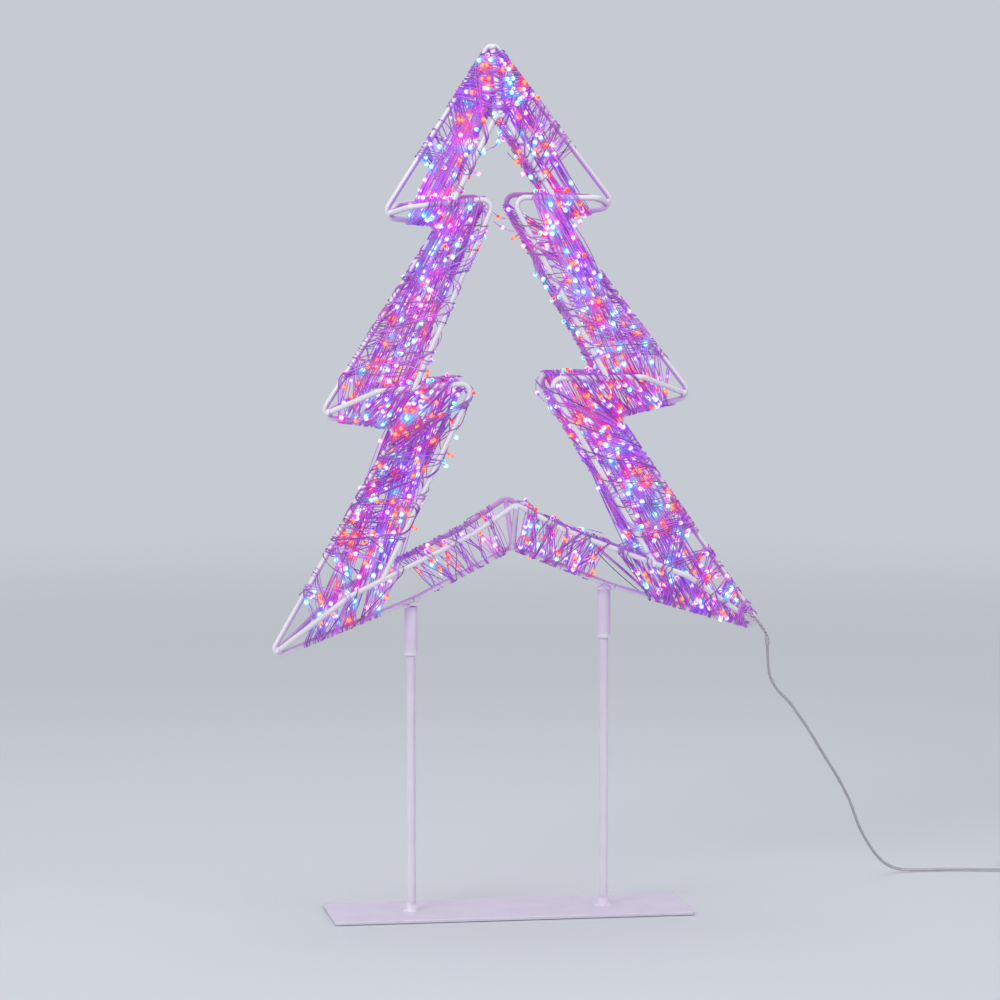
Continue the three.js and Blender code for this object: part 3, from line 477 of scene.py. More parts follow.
# What is wound where: the rails and kind of each pass, and its turns on the left and on the right. A row with turns on
# one side only goes over the middle line or is there once.
windingPlan = {
    "crownWinding": [("crown", "loose", 0, 8), ("crown", "pair", 0, 11), ("crown", "binding", 0, 3)],
    "topWinding": [("topLong", "long", 7, 7), ("topSteep", "steep", 9, 9), ("topSteep", "single", 7, 7),
                   ("topRound", "steep", 4, 4), ("topRound", "pair", 2, 2), ("topRound", "binding", 5, 5)],
    "topCap": [("topCap", "loose", 5, 4), ("topCap", "tidy", 5, 5)],
    "middleWinding": [("middleLong", "long", 8, 8), ("middleSteep", "steep", 12, 12), ("middleSteep", "single", 13, 13),
                      ("middleRound", "steep", 6, 6), ("middleSkirt", "loose", 3, 3), ("middleRound", "pair", 4, 4),
                      ("middleRound", "binding", 6, 6)],
    "lowerCap": [("lowerCap", "loose", 7, 6), ("lowerCap", "tidy", 6, 6)],
    "lowerWinding": [("lowerLong", "long", 12, 13), ("lowerSteep", "steep", 10, 12), ("lowerSteep", "single", 12, 14),
                     ("lowerRound", "steep", 6, 6), ("lowerRound", "pair", 4, 4), ("lowerRound", "binding", 6, 6)],
    "wedgeWinding": [("wedgeStraight", "loose", 3, 7), ("wedge", "tidy", 0, 4), ("wedge", "pair", 2, 4),
                     ("wedge", "binding", 2, 3)],
    "bottomWinding": [("bottomBack", "pair", 9, 11), ("bottomBack", "single", 6, 8), ("bottomRound", "loose", 0, 4),
                      ("bottomRound", "pair", 3, 3), ("bottomRound", "binding", 1, 2)],
    "tipTie": [("tip", "tidy", 0, 3), ("tip", "loose", 0, 2)],
}
standsFor = {f"{limb}Winding{side.capitalize()}": f"light_string_{limb}_{side}"
             for limb in ("top", "middle", "lower", "bottom") for side in signs}
standsFor["tipTie"] = "lead_tie"

# Loose wires between windings, as start, middle and end points of a slack curve
strayWires = [
    [(-25, -22, 692), (-14, -12, 705), (-3, 4, 706)],
    [(-3, 4, 706), (6, 17, 707), (8, 26, 722)],
    [(14, 24, 700), (20, 14, 690), (30, 6, 686)],
    [(-12, -26, 652), (-2, -8, 641), (9, 20, 640)],
    [(-9, -28, 640), (-1, -10, 633), (9, -22, 630)],
    [(-37, -26, 492), (-28, -10, 484), (-36, 20, 476)],
    [(34, 22, 493), (22, 8, 478), (40, -20, 468)],
    [(88, 20, 344), (70, 34, 352), (52, 24, 344)],
]


# Winds one piece on one side, pass by pass from either end in turn, keeps the binding strands apart and picks the
# drops' places along the others
def windPiece(plan, side):
    passes = []
    for index, (region, kind, loops) in enumerate(plan):
        rails = allRails.get(region + side.capitalize(), allRails.get(region))
        rails = [(points * signs[side], at) for points, at in rails]
        points, outward, spots = wind(rails[::-1] if index % 2 else rails, loops, passKinds[kind])
        placed = (leaning(points), leaning(points + outward) - leaning(points))
        (bindings if kind == "binding" else passes).append(placed)
        if kind == "binding" or region == "tip":
            continue
        count = round(np.linalg.norm(np.diff(points, axis=1), axis=-1).sum() / stringSizes["dropSpacing"])
        picked = rng.choice(len(spots["place"]), count, replace=False)
        drops.append({key: value[picked] for key, value in spots.items()})
    return passes


allRails = regions()
windings, bindings, drops = {}, [], []
for name, plan in windingPlan.items():
    sides = {side: [(region, kind, turns[k]) for region, kind, *turns in plan if turns[k]]
             for k, side in enumerate(signs)}
    for side, entries in sides.items():
        if entries:
            windings[name + side.capitalize() if all(sides.values()) else name] = windPiece(entries, side)
onStrays = [np.array(points, float) for points in strayWires]
drops.append({"place": np.array([p @ [0.25, 0.5, 0.25] for p in np.transpose(onStrays, (0, 2, 1))]),
              "outward": np.tile([0.0, -1.0, 0.0], (len(onStrays), 1)),
              "along": unit(np.array([p[2] - p[0] for p in onStrays]))})
spot = {key: np.concatenate([d[key] for d in drops]) for key in drops[0]}
dropBase = leaning(spot["place"])
dropOutward, dropAlong = (leaning(spot["place"] + spot[key]) - dropBase for key in ("outward", "along"))
dropCount = len(dropBase)
print("light strings wound:", dropCount, "drops")

# Light drops: clear resin over a coloured chip, some at the end of a tail that stands off the winding
dropSizes = {"radius": 2.05, "length": 3.0, "around": 8, "rings": 5, "heartPower": 4, "powers": (0.6, 1.2)}
dropLooks = {
    "ember": {"share": 0.28, "colour": "#ff3018", "heart": "#ffaa78", "power": 1.1},
    "aqua": {"share": 0.28, "colour": "#14c4f0", "heart": "#e6ffff", "power": 1.1},
    "violet": {"share": 0.24, "colour": "#8a34ff", "heart": "#f6eaff", "power": 1.2},
    "magenta": {"share": 0.2, "colour": "#f028d2", "heart": "#fff0fb", "power": 1.2},
}
dropKind = rng.choice(len(dropLooks), dropCount, p=[k["share"] for k in dropLooks.values()])
dropColour, dropHeart = (np.array([srgb(k[key])[:3] for k in dropLooks.values()])[dropKind]
                         for key in ("colour", "heart"))
dropPower = np.array([k["power"] for k in dropLooks.values()])[dropKind] * rng.uniform(*dropSizes["powers"], dropCount)
isTail = rng.random(dropCount) < stringSizes["tailShare"]
standing = np.where(isTail, rng.uniform(*stringSizes["tail"], dropCount), stringSizes["standOff"])
dropPlace = dropBase + dropOutward * standing[:, None]
dropAxis = np.where(isTail[:, None], dropOutward, dropAlong)

# Light thrown by the drops: their own colours close by, and a violet that drifts to magenta and blue further off
spillSizes = {
    "near": 3.0, "nearHalf": 0.3, "far": 6.0, "farHalf": 0.03, "facing": 0.7, "facingGain": 1.6, "block": 6000,
    "violet": "#ac54f4", "magenta": "#dc50d0", "blue": "#6260ff", "blueShare": 0.16, "farLevel": 0.6,
    "drift": (31.0, 47.0, 23.0, 37.0, 19.0), "bent": (2.0, 1.7), "evened": 0.3,
}


# The drift of the far colour: waves in x and z, bent by each other, share it between violet, magenta and blue, and
# even out where little light arrives
def farColour(p, received):
    s = spillSizes
    violet, magenta, blue = (np.array(srgb(s[key])[:3]) for key in ("violet", "magenta", "blue"))
    a, b, c, d, e = s["drift"]
    drift = 0.5 * np.minimum(received / s["evened"], 1)
    first = 0.5 + drift * np.sin(p[:, 0] / a + s["bent"][0] * np.sin(p[:, 2] / b))[:, None]
    second = 0.5 + drift * np.sin(p[:, 2] / c + s["bent"][1] * np.sin(p[:, 0] / d) + p[:, 1] / e)[:, None]
    share = s["blueShare"] * second
    return s["farLevel"] * ((violet * (1 - first) + magenta * first) * (1 - share) + blue * share)


# Light at points from all drops. The near part falls off by a bell curve of the distance and keeps each drop's
# colour. The far part falls off by the square of the distance, less where the surface faces away from it.
def spill(points, normals=None):
    s, rows = spillSizes, []
    pieces = max(1, len(points) // s["block"])
    allNormals = [None] * pieces if normals is None else np.array_split(normals, pieces)
    for p, n in zip(np.array_split(points, pieces), allNormals):
        square = np.maximum((p ** 2).sum(1)[:, None] + (dropPlace ** 2).sum(1) - 2 * p @ dropPlace.T, 0.0)
        near = np.exp(-square / (2 * s["near"] ** 2)) * dropPower
        nearSum = near.sum(1, keepdims=True)
        nearColour = near @ dropColour / np.maximum(nearSum, 1e-9)
        far = dropPower / (square + s["far"] ** 2)
        farSum = far.sum(1, keepdims=True)
        facing = 1.0
        if n is not None:
            slanted = far / np.sqrt(square + 1)
            flow = slanted @ dropPlace - slanted.sum(1, keepdims=True) * p
            towards = (flow * n).sum(1, keepdims=True) / farSum * s["facingGain"]
            facing = np.clip(1 - s["facing"] + s["facing"] * towards, 0, 1)
        nearShare = nearSum / (nearSum + s["nearHalf"]) * facing
        farShare = farSum * facing / (farSum * facing + s["farHalf"])
        colour = farColour(p, farSum) * (1 - nearShare) + nearColour * nearShare
        rows.append(np.concatenate([colour, 1 - (1 - nearShare) * (1 - farShare)], axis=1))
    return np.concatenate(rows)


# Writes values for each point into a piece's attribute: rows of four are colours, and a plain row is numbers
def addAttribute(piece, name, values):
    kind, field = ("FLOAT_COLOR", "color") if values.ndim > 1 else ("FLOAT", "value")
    attribute = piece.data.attributes.new(name, kind, "POINT")
    attribute.data.foreach_set(field, values.astype(np.float32).ravel())


# Writes the drops' light into a piece's spill attribute, by where the surface faces
def addSpill(piece):
    vertices = piece.data.vertices
    points, normals = np.zeros((2, len(vertices) * 3))
    vertices.foreach_get("co", points)
    vertices.foreach_get("normal", normals)
    addAttribute(piece, "spill", spill(points.reshape(-1, 3) / mm, normals.reshape(-1, 3)))


# Puts the drops' light over a material: its colour turns towards the spill colour by the share of that light, and
# some of it shines as if thrown back
def lit(tree, shader, colour, turn, shine):
    light = addNode(tree, "Attribute", {"attribute_name": "spill"})
    share = addNode(tree, "Math", {"operation": "MULTIPLY"}, {0: light.outputs["Alpha"], 1: turn})
    mixed = addNode(tree, "Mix", {"data_type": "RGBA"}, {0: share.outputs[0], 6: colour, 7: light.outputs["Color"]})
    strength = addNode(tree, "Math", {"operation": "MULTIPLY"}, {0: light.outputs["Alpha"], 1: shine})
    tree.links.new(mixed.outputs[2], shader.inputs["Base Color"])
    tree.links.new(light.outputs["Color"], shader.inputs["Emission Color"])
    tree.links.new(strength.outputs[0], shader.inputs["Emission Strength"])


# Steel with satin powder coat: dry powder, sprayed and baked until it flows. It gives a soft wide gloss over a faint
# orange peel about 1.5 mm across, and it is a little thinner and greyer in long patches.
coatLooks = {"rod": {"colour": "#e4e1ea", "thin": "#dddae4", "roughness": 0.38},
             "plate": {"colour": "#d6d2df", "thin": "#cfcbd9", "roughness": 0.24},
             "clear": 0.15, "clearRoughness": 0.2, "peel": 1.5, "patch": 30.0, "patchRange": (0.4, 0.7), "depth": 0.03,
             "relief": 0.5, "turn": 0.95, "shine": 0.2}


# Powder coat of one part: noise patches share its two colours, and finer noise gives the peel
def powderCoat(name, colour, thin, roughness):
    s = coatLooks
    made, tree, shader = newMaterial(name, {"Roughness": roughness, "Coat Weight": s["clear"],
                                            "Coat Roughness": s["clearRoughness"]})
    place = addNode(tree, "TexCoord").outputs["Object"]
    patch = addNode(tree, "TexNoise", inputs={"Vector": place, "Scale": 1 / (s["patch"] * mm), "Detail": 3.0})
    least, most = s["patchRange"]
    spread = addNode(tree, "MapRange", inputs={0: patch.outputs["Fac"], 1: least, 2: most})
    colours = addNode(tree, "Mix", {"data_type": "RGBA"}, {0: spread.outputs[0], 6: srgb(colour), 7: srgb(thin)})
    peel = addNode(tree, "TexNoise", inputs={"Vector": place, "Scale": 1 / (s["peel"] * mm), "Detail": 2.0})
    bump = addNode(tree, "Bump", inputs={"Strength": s["relief"], "Distance": s["depth"] * mm,
                                         "Height": peel.outputs["Fac"]})
    tree.links.new(bump.outputs["Normal"], shader.inputs["Normal"])
    # The drops' light is painted over the coat, as colour and a faint glow.
    lit(tree, shader, colours.outputs[2], s["turn"], s["shine"])
    return made


coatedSteel = powderCoat("coatedSteelRod", **coatLooks["rod"])
coatedPlate = powderCoat("coatedSteelPlate", **coatLooks["plate"])

# Copper wire with bright silvery enamel, drawn round: thin and glossy. Each strand gets a painted glint of its own,
# from painted shade to a painted highlight, and the binding strands, which the drops' light doesn't reach on the side
# near the eye, are painted dull and dark as shade.
# The bright colour is a painted highlight and the dull one painted shade; the painted glint shares between them.
wireLooks = {"lit": {"bright": "#cfc2de", "dull": "#6c5c86", "turn": 0.86, "shine": 0.85},
             "binding": {"bright": "#8d869c", "dull": "#575063", "turn": 0.3, "shine": 0.06},
             "patch": 7.0, "paintedGlintRange": (0.6, 1.3), "roughness": 0.4, "metallic": 0.35, "least": 0.4}


# Silvery wire: its strand's painted glint and noise patches of painted highlight, added up, share its colours and its
# painted glow (the shine) between dull and bright
def silverWire(name, bright, dull, turn, shine):
    s = wireLooks
    made, tree, shader = newMaterial(name, {"Roughness": s["roughness"], "Metallic": s["metallic"]})
    place = addNode(tree, "TexCoord").outputs["Object"]
    patch = addNode(tree, "TexNoise", inputs={"Vector": place, "Scale": 1 / (s["patch"] * mm), "Detail": 4.0})
    paintedGlint = addNode(tree, "Attribute", {"attribute_name": "paintedGlint"})
    total = addNode(tree, "Math", {"operation": "ADD"}, {0: patch.outputs["Fac"], 1: paintedGlint.outputs["Fac"]})
    least, most = s["paintedGlintRange"]
    spread = addNode(tree, "MapRange", inputs={0: total.outputs[0], 1: least, 2: most})
    colours = addNode(tree, "Mix", {"data_type": "RGBA"}, {0: spread.outputs[0], 6: srgb(dull), 7: srgb(bright)})
    shown = addNode(tree, "MapRange", inputs={0: spread.outputs[0], 3: s["least"] * shine, 4: shine})
    # The drops' light is painted over the wire, as colour and glow.
    lit(tree, shader, colours.outputs[2], turn, shown.outputs[0])
    return made


lacqueredWire = silverWire("lacqueredSilverWire", **wireLooks["lit"])
# The binding strands' darker colours and weak glow are painted shade: the drops leave them unlit.
bindingWire = silverWire("shadedBindingWire", **wireLooks["binding"])

# Clear epoxy drop cast over a lit chip: hot pale heart, full colour at its ends, glassy skin. The glow attribute
# holds the colour that shines.
dropGlow = {"strength": 1.15, "roughness": 0.15, "body": "#2a1a33", "through": 0.25}
resinDrop, tree, shader = newMaterial("litResinDrop", {"Roughness": dropGlow["roughness"],
                                                       "Emission Strength": dropGlow["strength"]})
glow = addNode(tree, "Attribute", {"attribute_name": "glow"})
body = addNode(tree, "Mix", {"data_type": "RGBA"},
               {0: dropGlow["through"], 6: srgb(dropGlow["body"]), 7: glow.outputs["Color"]})
tree.links.new(body.outputs[2], shader.inputs["Base Color"])
tree.links.new(glow.outputs["Color"], shader.inputs["Emission Color"])


# A fine material: a pattern on the piece's own coordinates shares its two colours, and gives relief where it has depth
def fineMaterial(name, looks, inputs, texture="TexNoise", settings=None, pattern=None):
    made, tree, shader = newMaterial(name, {"Roughness": looks["roughness"], **inputs})
    place = addNode(tree, "TexCoord").outputs["Object"]
    grain = addNode(tree, texture, settings, {"Vector": place, "Scale": 1 / (looks["grain"] * mm), **(pattern or {})})
    colours = addNode(tree, "Mix", {"data_type": "RGBA"},
                      {0: grain.outputs["Fac"], 6: srgb(looks["colours"][0]), 7: srgb(looks["colours"][1])})
    tree.links.new(colours.outputs[2], shader.inputs["Base Color"])
    if "depth" in looks:
        bump = addNode(tree, "Bump", inputs={"Strength": looks["relief"], "Distance": looks["depth"] * mm,
                                             "Height": grain.outputs["Fac"]})
        tree.links.new(bump.outputs["Normal"], shader.inputs["Normal"])
    return made


# Clear soft PVC, extruded over two tinned cores: glassy skin with a grey metal shimmer underneath
pvcLooks = {"colours": ("#d6d2dc", "#b3aebb"), "roughness": 0.16, "grain": 5.0, "clearness": 0.35, "bending": 1.53}
clearPvc = fineMaterial("clearPvcFlex", pvcLooks,
                        {"IOR": pvcLooks["bending"], "Transmission Weight": pvcLooks["clearness"]})

# Black ABS, moulded in a spark-eroded tool: fine even grain and a dull sheen, the grain drawn coarser than it is
absLooks = {"colours": ("#17171a", "#26262a"), "roughness": 0.52, "grain": 0.7, "depth": 0.03, "relief": 0.6}
blackAbs = fineMaterial("mouldedBlackAbs", absLooks, {})

# Nickel plated brass, turned and barrel plated: bright and warm grey, with fine turning marks across the pin. The
# wave's bands repeat at about 0.3 of one over its scale.
nickelLooks = {"colours": ("#c9c4b8", "#aaa69c"), "roughness": 0.2, "grain": 0.5, "bands": 0.3, "crooked": 2.0}
nickelPin = fineMaterial("nickelPlatedBrass", nickelLooks, {"Metallic": 1.0}, "TexWave",
                         {"bands_direction": "X"}, {"Scale": nickelLooks["bands"] / (nickelLooks["grain"] * mm),
                                                    "Distortion": nickelLooks["crooked"]})
print("materials made")

# The rest of the lead: two twisted strands from the winding down to a shrink sleeve, the sleeve, and the strap
leadEnd = {
    "strandRoute": [[224, -9.4, 277], [231, -9.4, 269], [238, -9, 260], [242.6, -7.4, 252.6]],
    "strandSteps": 12, "strandSides": 8, "strand": 1.7, "spacing": 2.2, "narrowing": 0.35, "twists": 3.5,
    "splice": [[1.35, 243.2], [1.75, 243.4], [2.15, 244.8], [2.3, 246.2], [2.3, 249.5], [2.2, 250.7], [1.85, 252.2],
               [1.45, 252.5]],
    "spliceFoot": (243.0, -6.6), "spliceSides": 20, "spliceLean": (0.05, 0.08, 0.0),
    "strapWide": 6.0, "strapThick": 1.1, "strapBox": [528.0, 552.0, 0.55, 15.2], "strapBend": 3.0, "strapY": 150.0,
    "strapLap": 5, "strapRise": 1.05, "strapEdge": 0.3, "strapSide": 0.6, "strapStep": 1.5,
}


# Two strands that wind about a route half a turn apart, each a circle of half the spacing carried along it, its
# radius narrowing towards the lower end
def twistedStrands(s):
    path = smoothCurve(s["strandRoute"], s["strandSteps"])
    share = np.linspace(0, 1, len(path))[:, None]
    tangent = unit(np.gradient(path, axis=0))
    across = unit(np.cross(tangent, [0, 1.0, 0]))
    other = np.cross(across, tangent)
    radius = s["spacing"] / 2 * (1 - s["narrowing"] * share)
    strands = []
    for phase in (0, np.pi):
        angle = 2 * np.pi * s["twists"] * share + phase
        strands.append(path + radius * (across * np.cos(angle) + other * np.sin(angle)))
    return tubes(np.stack(strands), roundSection(s["strand"] / 2, s["strandSides"]), [0, 1.0, 0.3])


# The strap: a flat band carried round a rounded rectangle for a little more than a turn, rising by a power of its
# length so that its end lies on its start
def strap(s):
    left, right, low, high = s["strapBox"]
    middle = np.array([(left + right) / 2, s["strapY"], (low + high) / 2])
    corners = [[middle[0], high], [right, high], [right, low], [left, low], [left, high],
               [middle[0] + s["strapLap"], high]]
    loop = bentPath([[x, s["strapY"], z] for x, z in corners], [s["strapBend"]] * 4)
    loop[:, 2] += np.linspace(0, 1, len(loop)) ** 6 * s["strapThick"] * s["strapRise"]
    half, thick = s["strapWide"] / 2, s["strapThick"] / 2
    flat, side = half - s["strapEdge"], thick * s["strapSide"]
    section = [[-half, -side], [-flat, -thick], [flat, -thick], [half, -side], [half, side], [flat, thick],
               [-flat, thick], [-half, side]]
    path = subdivided(loop, s["strapStep"])
    return tubes(path[None], section, (path - middle)[None])


# Rings of points from the bottom up, with quads between them. The stack closes into a ring, or its ends are capped.
def stacked(rings, ring=False):
    index = np.arange(rings[..., 0].size).reshape(rings.shape[:2])
    index = np.concatenate([index, index[:1]]) if ring else index
    caps = [] if ring else [index[0, ::-1].tolist(), index[-1].tolist()]
    return rings.reshape(-1, 3), rowQuads(index)[:, [0, 3, 2, 1]].tolist() + caps


# A turned shape: a profile of [radius, height] pairs carried round an upright line at the centre
def turned(profile, centre, sides=32, ring=False):
    profile = np.asarray(profile, float)
    angle = 2 * np.pi * np.arange(sides) / sides
    points = np.stack([centre[0] + profile[:, :1] * np.cos(angle), centre[1] + profile[:, :1] * np.sin(angle),
                       np.broadcast_to(profile[:, 1:], (len(profile), sides))], axis=-1)
    return stacked(points, ring)


# Uneven surface: points move by a sum of three slanted sine waves of their place, along the given directions
def uneven(points, directions, size, depth):
    p = points / size
    wave = (np.sin(p @ [1.0, 2.1, 0.7] + 0.4) + np.sin(p @ [-1.7, 0.9, 1.3] + 1.9) + np.sin(p @ [0.6, -1.2, 2.3] + 3.1))
    return points + directions * (wave / 3 * depth)[:, None]


# Faces of a ball made of rings, with its two poles numbered after the rings: quads, and fans of triangles
def ballFaces(rings, sides):
    grid = np.arange(rings * sides).reshape(rings, sides)
    beside = np.roll(grid, -1, axis=1)
    first, last = np.full((2, sides), grid.size) + [[0], [1]]
    fans = [np.stack([first, grid[0], beside[0]], axis=-1), np.stack([last, beside[-1], grid[-1]], axis=-1)]
    return rowQuads(grid), np.concatenate(fans)


weldSizes = {"rings": 7, "sides": 14, "grain": 0.55, "uneven": 0.22}


# A weld lump: an uneven ellipsoid of rings about a slanted axis, squashed along it and closed at both poles
def weldLump(centre, radius, axis, squash):
    rings, sides = weldSizes["rings"], weldSizes["sides"]
    bend = np.linspace(0, np.pi, rings + 2)[1:-1, None, None]
    turn = (2 * np.pi * np.arange(sides) / sides)[None, :, None]
    axis = unit(np.asarray(axis, float))
    across = unit(np.cross(axis, [0.2, 1.0, 0.1]))
    other = np.cross(axis, across)
    body = np.sin(bend) * (across * np.cos(turn) + other * np.sin(turn)) + squash * np.cos(bend) * axis
    directions = np.concatenate([body.reshape(-1, 3), [axis * squash], [-axis * squash]])
    points = uneven(centre + directions * radius, unit(directions), radius * weldSizes["grain"],
                    radius * weldSizes["uneven"])
    quads, fans = ballFaces(rings, sides)
    return points, quads.tolist() + fans.tolist()


# Lead
flex = newPiece("leadFlex", tubes(leadPath[None], flexSection, flexUp), clearPvc, None, 60)
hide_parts("lead_cable", "lead_coil")
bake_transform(flex)
strands = newPiece("leadStrands", twistedStrands(leadEnd), clearPvc, "tree", 60)
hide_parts("lead_strand_a", "lead_strand_b")
points, faces = turned(leadEnd["splice"], leadEnd["spliceFoot"], leadEnd["spliceSides"])
points = points - (points[:, 2:] - leadEnd["splice"][0][1]) * leadEnd["spliceLean"]
splice = newPiece("shrinkSplice", (points, faces), clearPvc, "tree", 60)
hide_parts("lead_splice")
coilStrap = newPiece("coilStrap", strap(leadEnd), blackAbs, "stand", 40)
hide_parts("coil_tie")
for node, made in {"adapter_relief": blackAbs, "adapter_housing": blackAbs, "adapter_pin_left": nickelPin,
                   "adapter_pin_right": nickelPin}.items():
    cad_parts[node].data.materials.clear()
    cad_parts[node].data.materials.append(made)
print("lead made")


# A piece of coated steel, which takes the drops' light and stands for the named nodes
def steelPiece(name, shape, body, *nodes, made=coatedSteel, slot="white_steel", smooth=40):
    piece = newPiece(name, shape, made, body, smooth)
    if nodes:
        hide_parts(*nodes)
    addSpill(piece)


# Bent rods of the leaning tree as one piece: tubes whose rings are close enough together to bend smoothly
def steelRods(name, paths, *nodes):
    section = roundSection(f["rod"] / 2, f["sides"])
    shapes = [tubes(subdivided(leaning(path), f["ringStep"])[None], section, [0, 1.0, 0]) for path in paths]
    steelPiece(name, joined(shapes), "tree", *nodes)


# One plane's rods: the chevron right across, the apex rod right across, and the side rods in pairs
def planeRods(rods):
    across = lambda half: [*(p * mirror for p in half[:0:-1]), *half]
    paths = [bentPath(across(rods["chevron"]), [f["innerBend"]] * 5),
             bentPath(across(rods["top"]), [f["apexBend"]])]
    for side in signs.values():
        paths += [bentPath([p * side for p in rods[name]], [f["innerBend"]] * 2) for name in ("middle", "lower")]
    return paths


# The struts from the outer rod's middle corners to the two planes' peaks
def strutPaths():
    ends = [("apex", "innerApex", *f["apexStrut"]), ("bottomPeak", "chevronPeak", *f["peakStrut"])]
    return [np.stack([corner(outer, sign * f["strutAside"]) + [0, 0, start],
                      corner(inner, sign * f["depth"] / 2) + [0, 0, end]])
            for outer, inner, start, end in ends for sign in (-1, 1)]


# Weld lumps where the rods meet: at the inner rods' feet and tips, the struts' ends and the bottom knees
def frameWelds():
    places = []
    for rods in planes.values():
        for side in signs.values():
            places += [(rods[name][-1] * side, f["footWeld"]) for name in ("top", "middle", "lower")]
            places += [(rods[name][end] * side, f["seatWeld"])
                       for name, end in (("middle", 0), ("lower", 0), ("chevron", -1))]
    for path in strutPaths():
        places += list(zip(path, f["strutWelds"]))
    places += [(corner("bottomKnee") * side - [0, 0, f["kneeDrop"]], f["seatWeld"]) for side in signs.values()]
    return [weldLump(leaning(place), radius, (1.0, 0.2 * k, 0.6), f["weldLong"])
            for k, (place, radius) in enumerate(places)]


steelRods("outerRods", [outerHalf * side for side in signs.values()], "outer_rod_left", "outer_rod_right")
for plane, rods in planes.items():
    steelRods(plane + "Rods", planeRods(rods),
              *(f"{plane}_{rod}" for rod in ("chevron_rod", "apex_rod", "left_lower_rod", "right_lower_rod",
                                             "left_middle_rod", "right_middle_rod")))
steelRods("struts", strutPaths(), *(f"{plane}_{rod}_strut" for plane in planes for rod in ("top", "bottom")))
steelPiece("frameWelds", joined(frameWelds()), "tree", smooth=180)
print("rods made")

# Stand: plate with softened edges, two posts on weld fillets, and the tree's two sleeves, sawn off flat under the
# rod and held to it by a lump of weld
standSizes = {
    "plate": (334, 100, 3), "plateCorner": 2.0, "edge": 0.5, "cornerSteps": 6,
    "spacing": 180, "post": 8.0, "postFoot": 3.0, "postTop": 280.0, "postChamfer": 0.5, "step": 6.0,
    "weldRadius": 8.0, "weldHeight": 9.0, "weldLip": 0.7, "weldSteps": 8, "weldUneven": 0.9,
    "weldSides": 28, "weldGrain": 2.4,
    "sleeve": 12.0, "bore": 10.0, "sleeveEdge": 0.25,
    "sleeves": {"left": (240.7, 285.6), "right": (253.6, 298.6)},
    "sleeveWelds": [((-94.6, -0.4, 286.4), 4.0), ((91.0, -0.6, 299.8), 5.0), ((88.6, -1.4, 299.4), 4.4)],
    "weldAxis": (0.2, 0.1, 1.0), "weldFlat": 0.65,
}


# Plate: rounded rectangles, inset by the edge at the bottom and top, joined up and capped
def plateShape(s):
    length, depth, thick = s["plate"]
    turn = np.linspace(0, np.pi / 2, s["cornerSteps"])

    # One rounded rectangle: quarter circles about the corners' centres
    def outline(inset, z):
        r = s["plateCorner"] - inset
        points = []
        for quarter, (sx, sy) in enumerate([(1, 1), (-1, 1), (-1, -1), (1, -1)]):
            angle = turn + quarter * np.pi / 2
            points.append(np.stack([sx * (length / 2 - s["plateCorner"]) + r * np.cos(angle),
                                    sy * (depth / 2 - s["plateCorner"]) + r * np.sin(angle),
                                    np.full(len(turn), z)], axis=-1))
        return np.concatenate(points)

    return stacked(np.stack([outline(s["edge"], 0), outline(0, s["edge"]), outline(0, thick - s["edge"]),
                             outline(s["edge"], thick)]))


# Post profile: a straight side with rings at an even step, and a chamfer at the top
def postProfile(s):
    r, foot, top, c = s["post"] / 2, s["postFoot"], s["postTop"], s["postChamfer"]
    heights = np.linspace(foot, top - c, round((top - foot) / s["step"]))
    return [[r, z] for z in heights] + [[r - c, top]]


# Weld fillet: a hollow curve, its spread falling by the square of the height, made uneven all round
def filletShape(s, x):
    rise = np.linspace(0, 1, s["weldSteps"])
    inner = s["post"] / 2
    spread = s["weldRadius"] - inner - s["weldLip"]
    outer = np.stack([inner + s["weldLip"] + spread * (1 - rise) ** 2, s["postFoot"] + s["weldHeight"] * rise], axis=-1)
    points, faces = turned(outer, (x, 0.0), s["weldSides"])
    away = unit((points - [x, 0, 0]) * [1, 1, 0])
    return uneven(points, away, s["weldGrain"], s["weldUneven"]), faces


# Sleeve profile: a tube wall with slightly broken edges, run up outside and down inside
def sleeveProfile(s, low, high):
    outer, inner, e = s["sleeve"] / 2, s["bore"] / 2, s["sleeveEdge"]
    heights = np.linspace(low + e, high - e, round((high - low) / s["step"]) + 1)
    return ([[outer - e, low]] + [[outer, z] for z in heights] + [[outer - e, high], [inner + e, high]]
            + [[inner, z] for z in heights[::-1]] + [[inner + e, low]])


s = standSizes
steelPiece("plate", plateShape(s), "stand", "base_plate", made=coatedPlate, slot="plate_paint", smooth=25)
for side, (sign, _, _) in signs.items():
    x = sign * s["spacing"] / 2
    steelPiece(side + "Post", turned(postProfile(s), (x, 0.0)), "stand", side + "_post")
    steelPiece(side + "Fillet", filletShape(s, x), "stand", side + "_post_weld", smooth=60)
    steelPiece(side + "Sleeve", turned(sleeveProfile(s, *s["sleeves"][side]), (x, 0.0), ring=True), "tree",
               side + "_sleeve")
lumps = [weldLump(np.array(place), radius, s["weldAxis"], s["weldFlat"]) for place, radius in s["sleeveWelds"]]
steelPiece("sleeveWelds", joined(lumps), "tree", smooth=180)
print("stand made")


# One piece of strands. Each ring of a strand gets the drops' painted light at its middle, and each strand a painted
# glint of its own, at random from painted shade to painted highlight.
def strandPiece(name, passes, made, thickness=stringSizes["wire"]):
    sides = stringSizes["sides"]
    shapes = [tubes(points, roundSection(thickness / 2, sides), outward) for points, outward in passes]
    piece = newPiece(name, joined(shapes), made, "tree", 180)
    light = spill(np.concatenate([points.reshape(-1, 3) for points, _ in passes]))
    paintedGlint = np.concatenate([np.repeat(rng.random(len(points)), points.shape[1]) for points, _ in passes])
    addAttribute(piece, "spill", np.repeat(light, sides, axis=0))
    addAttribute(piece, "paintedGlint", np.repeat(paintedGlint, sides))
    return piece


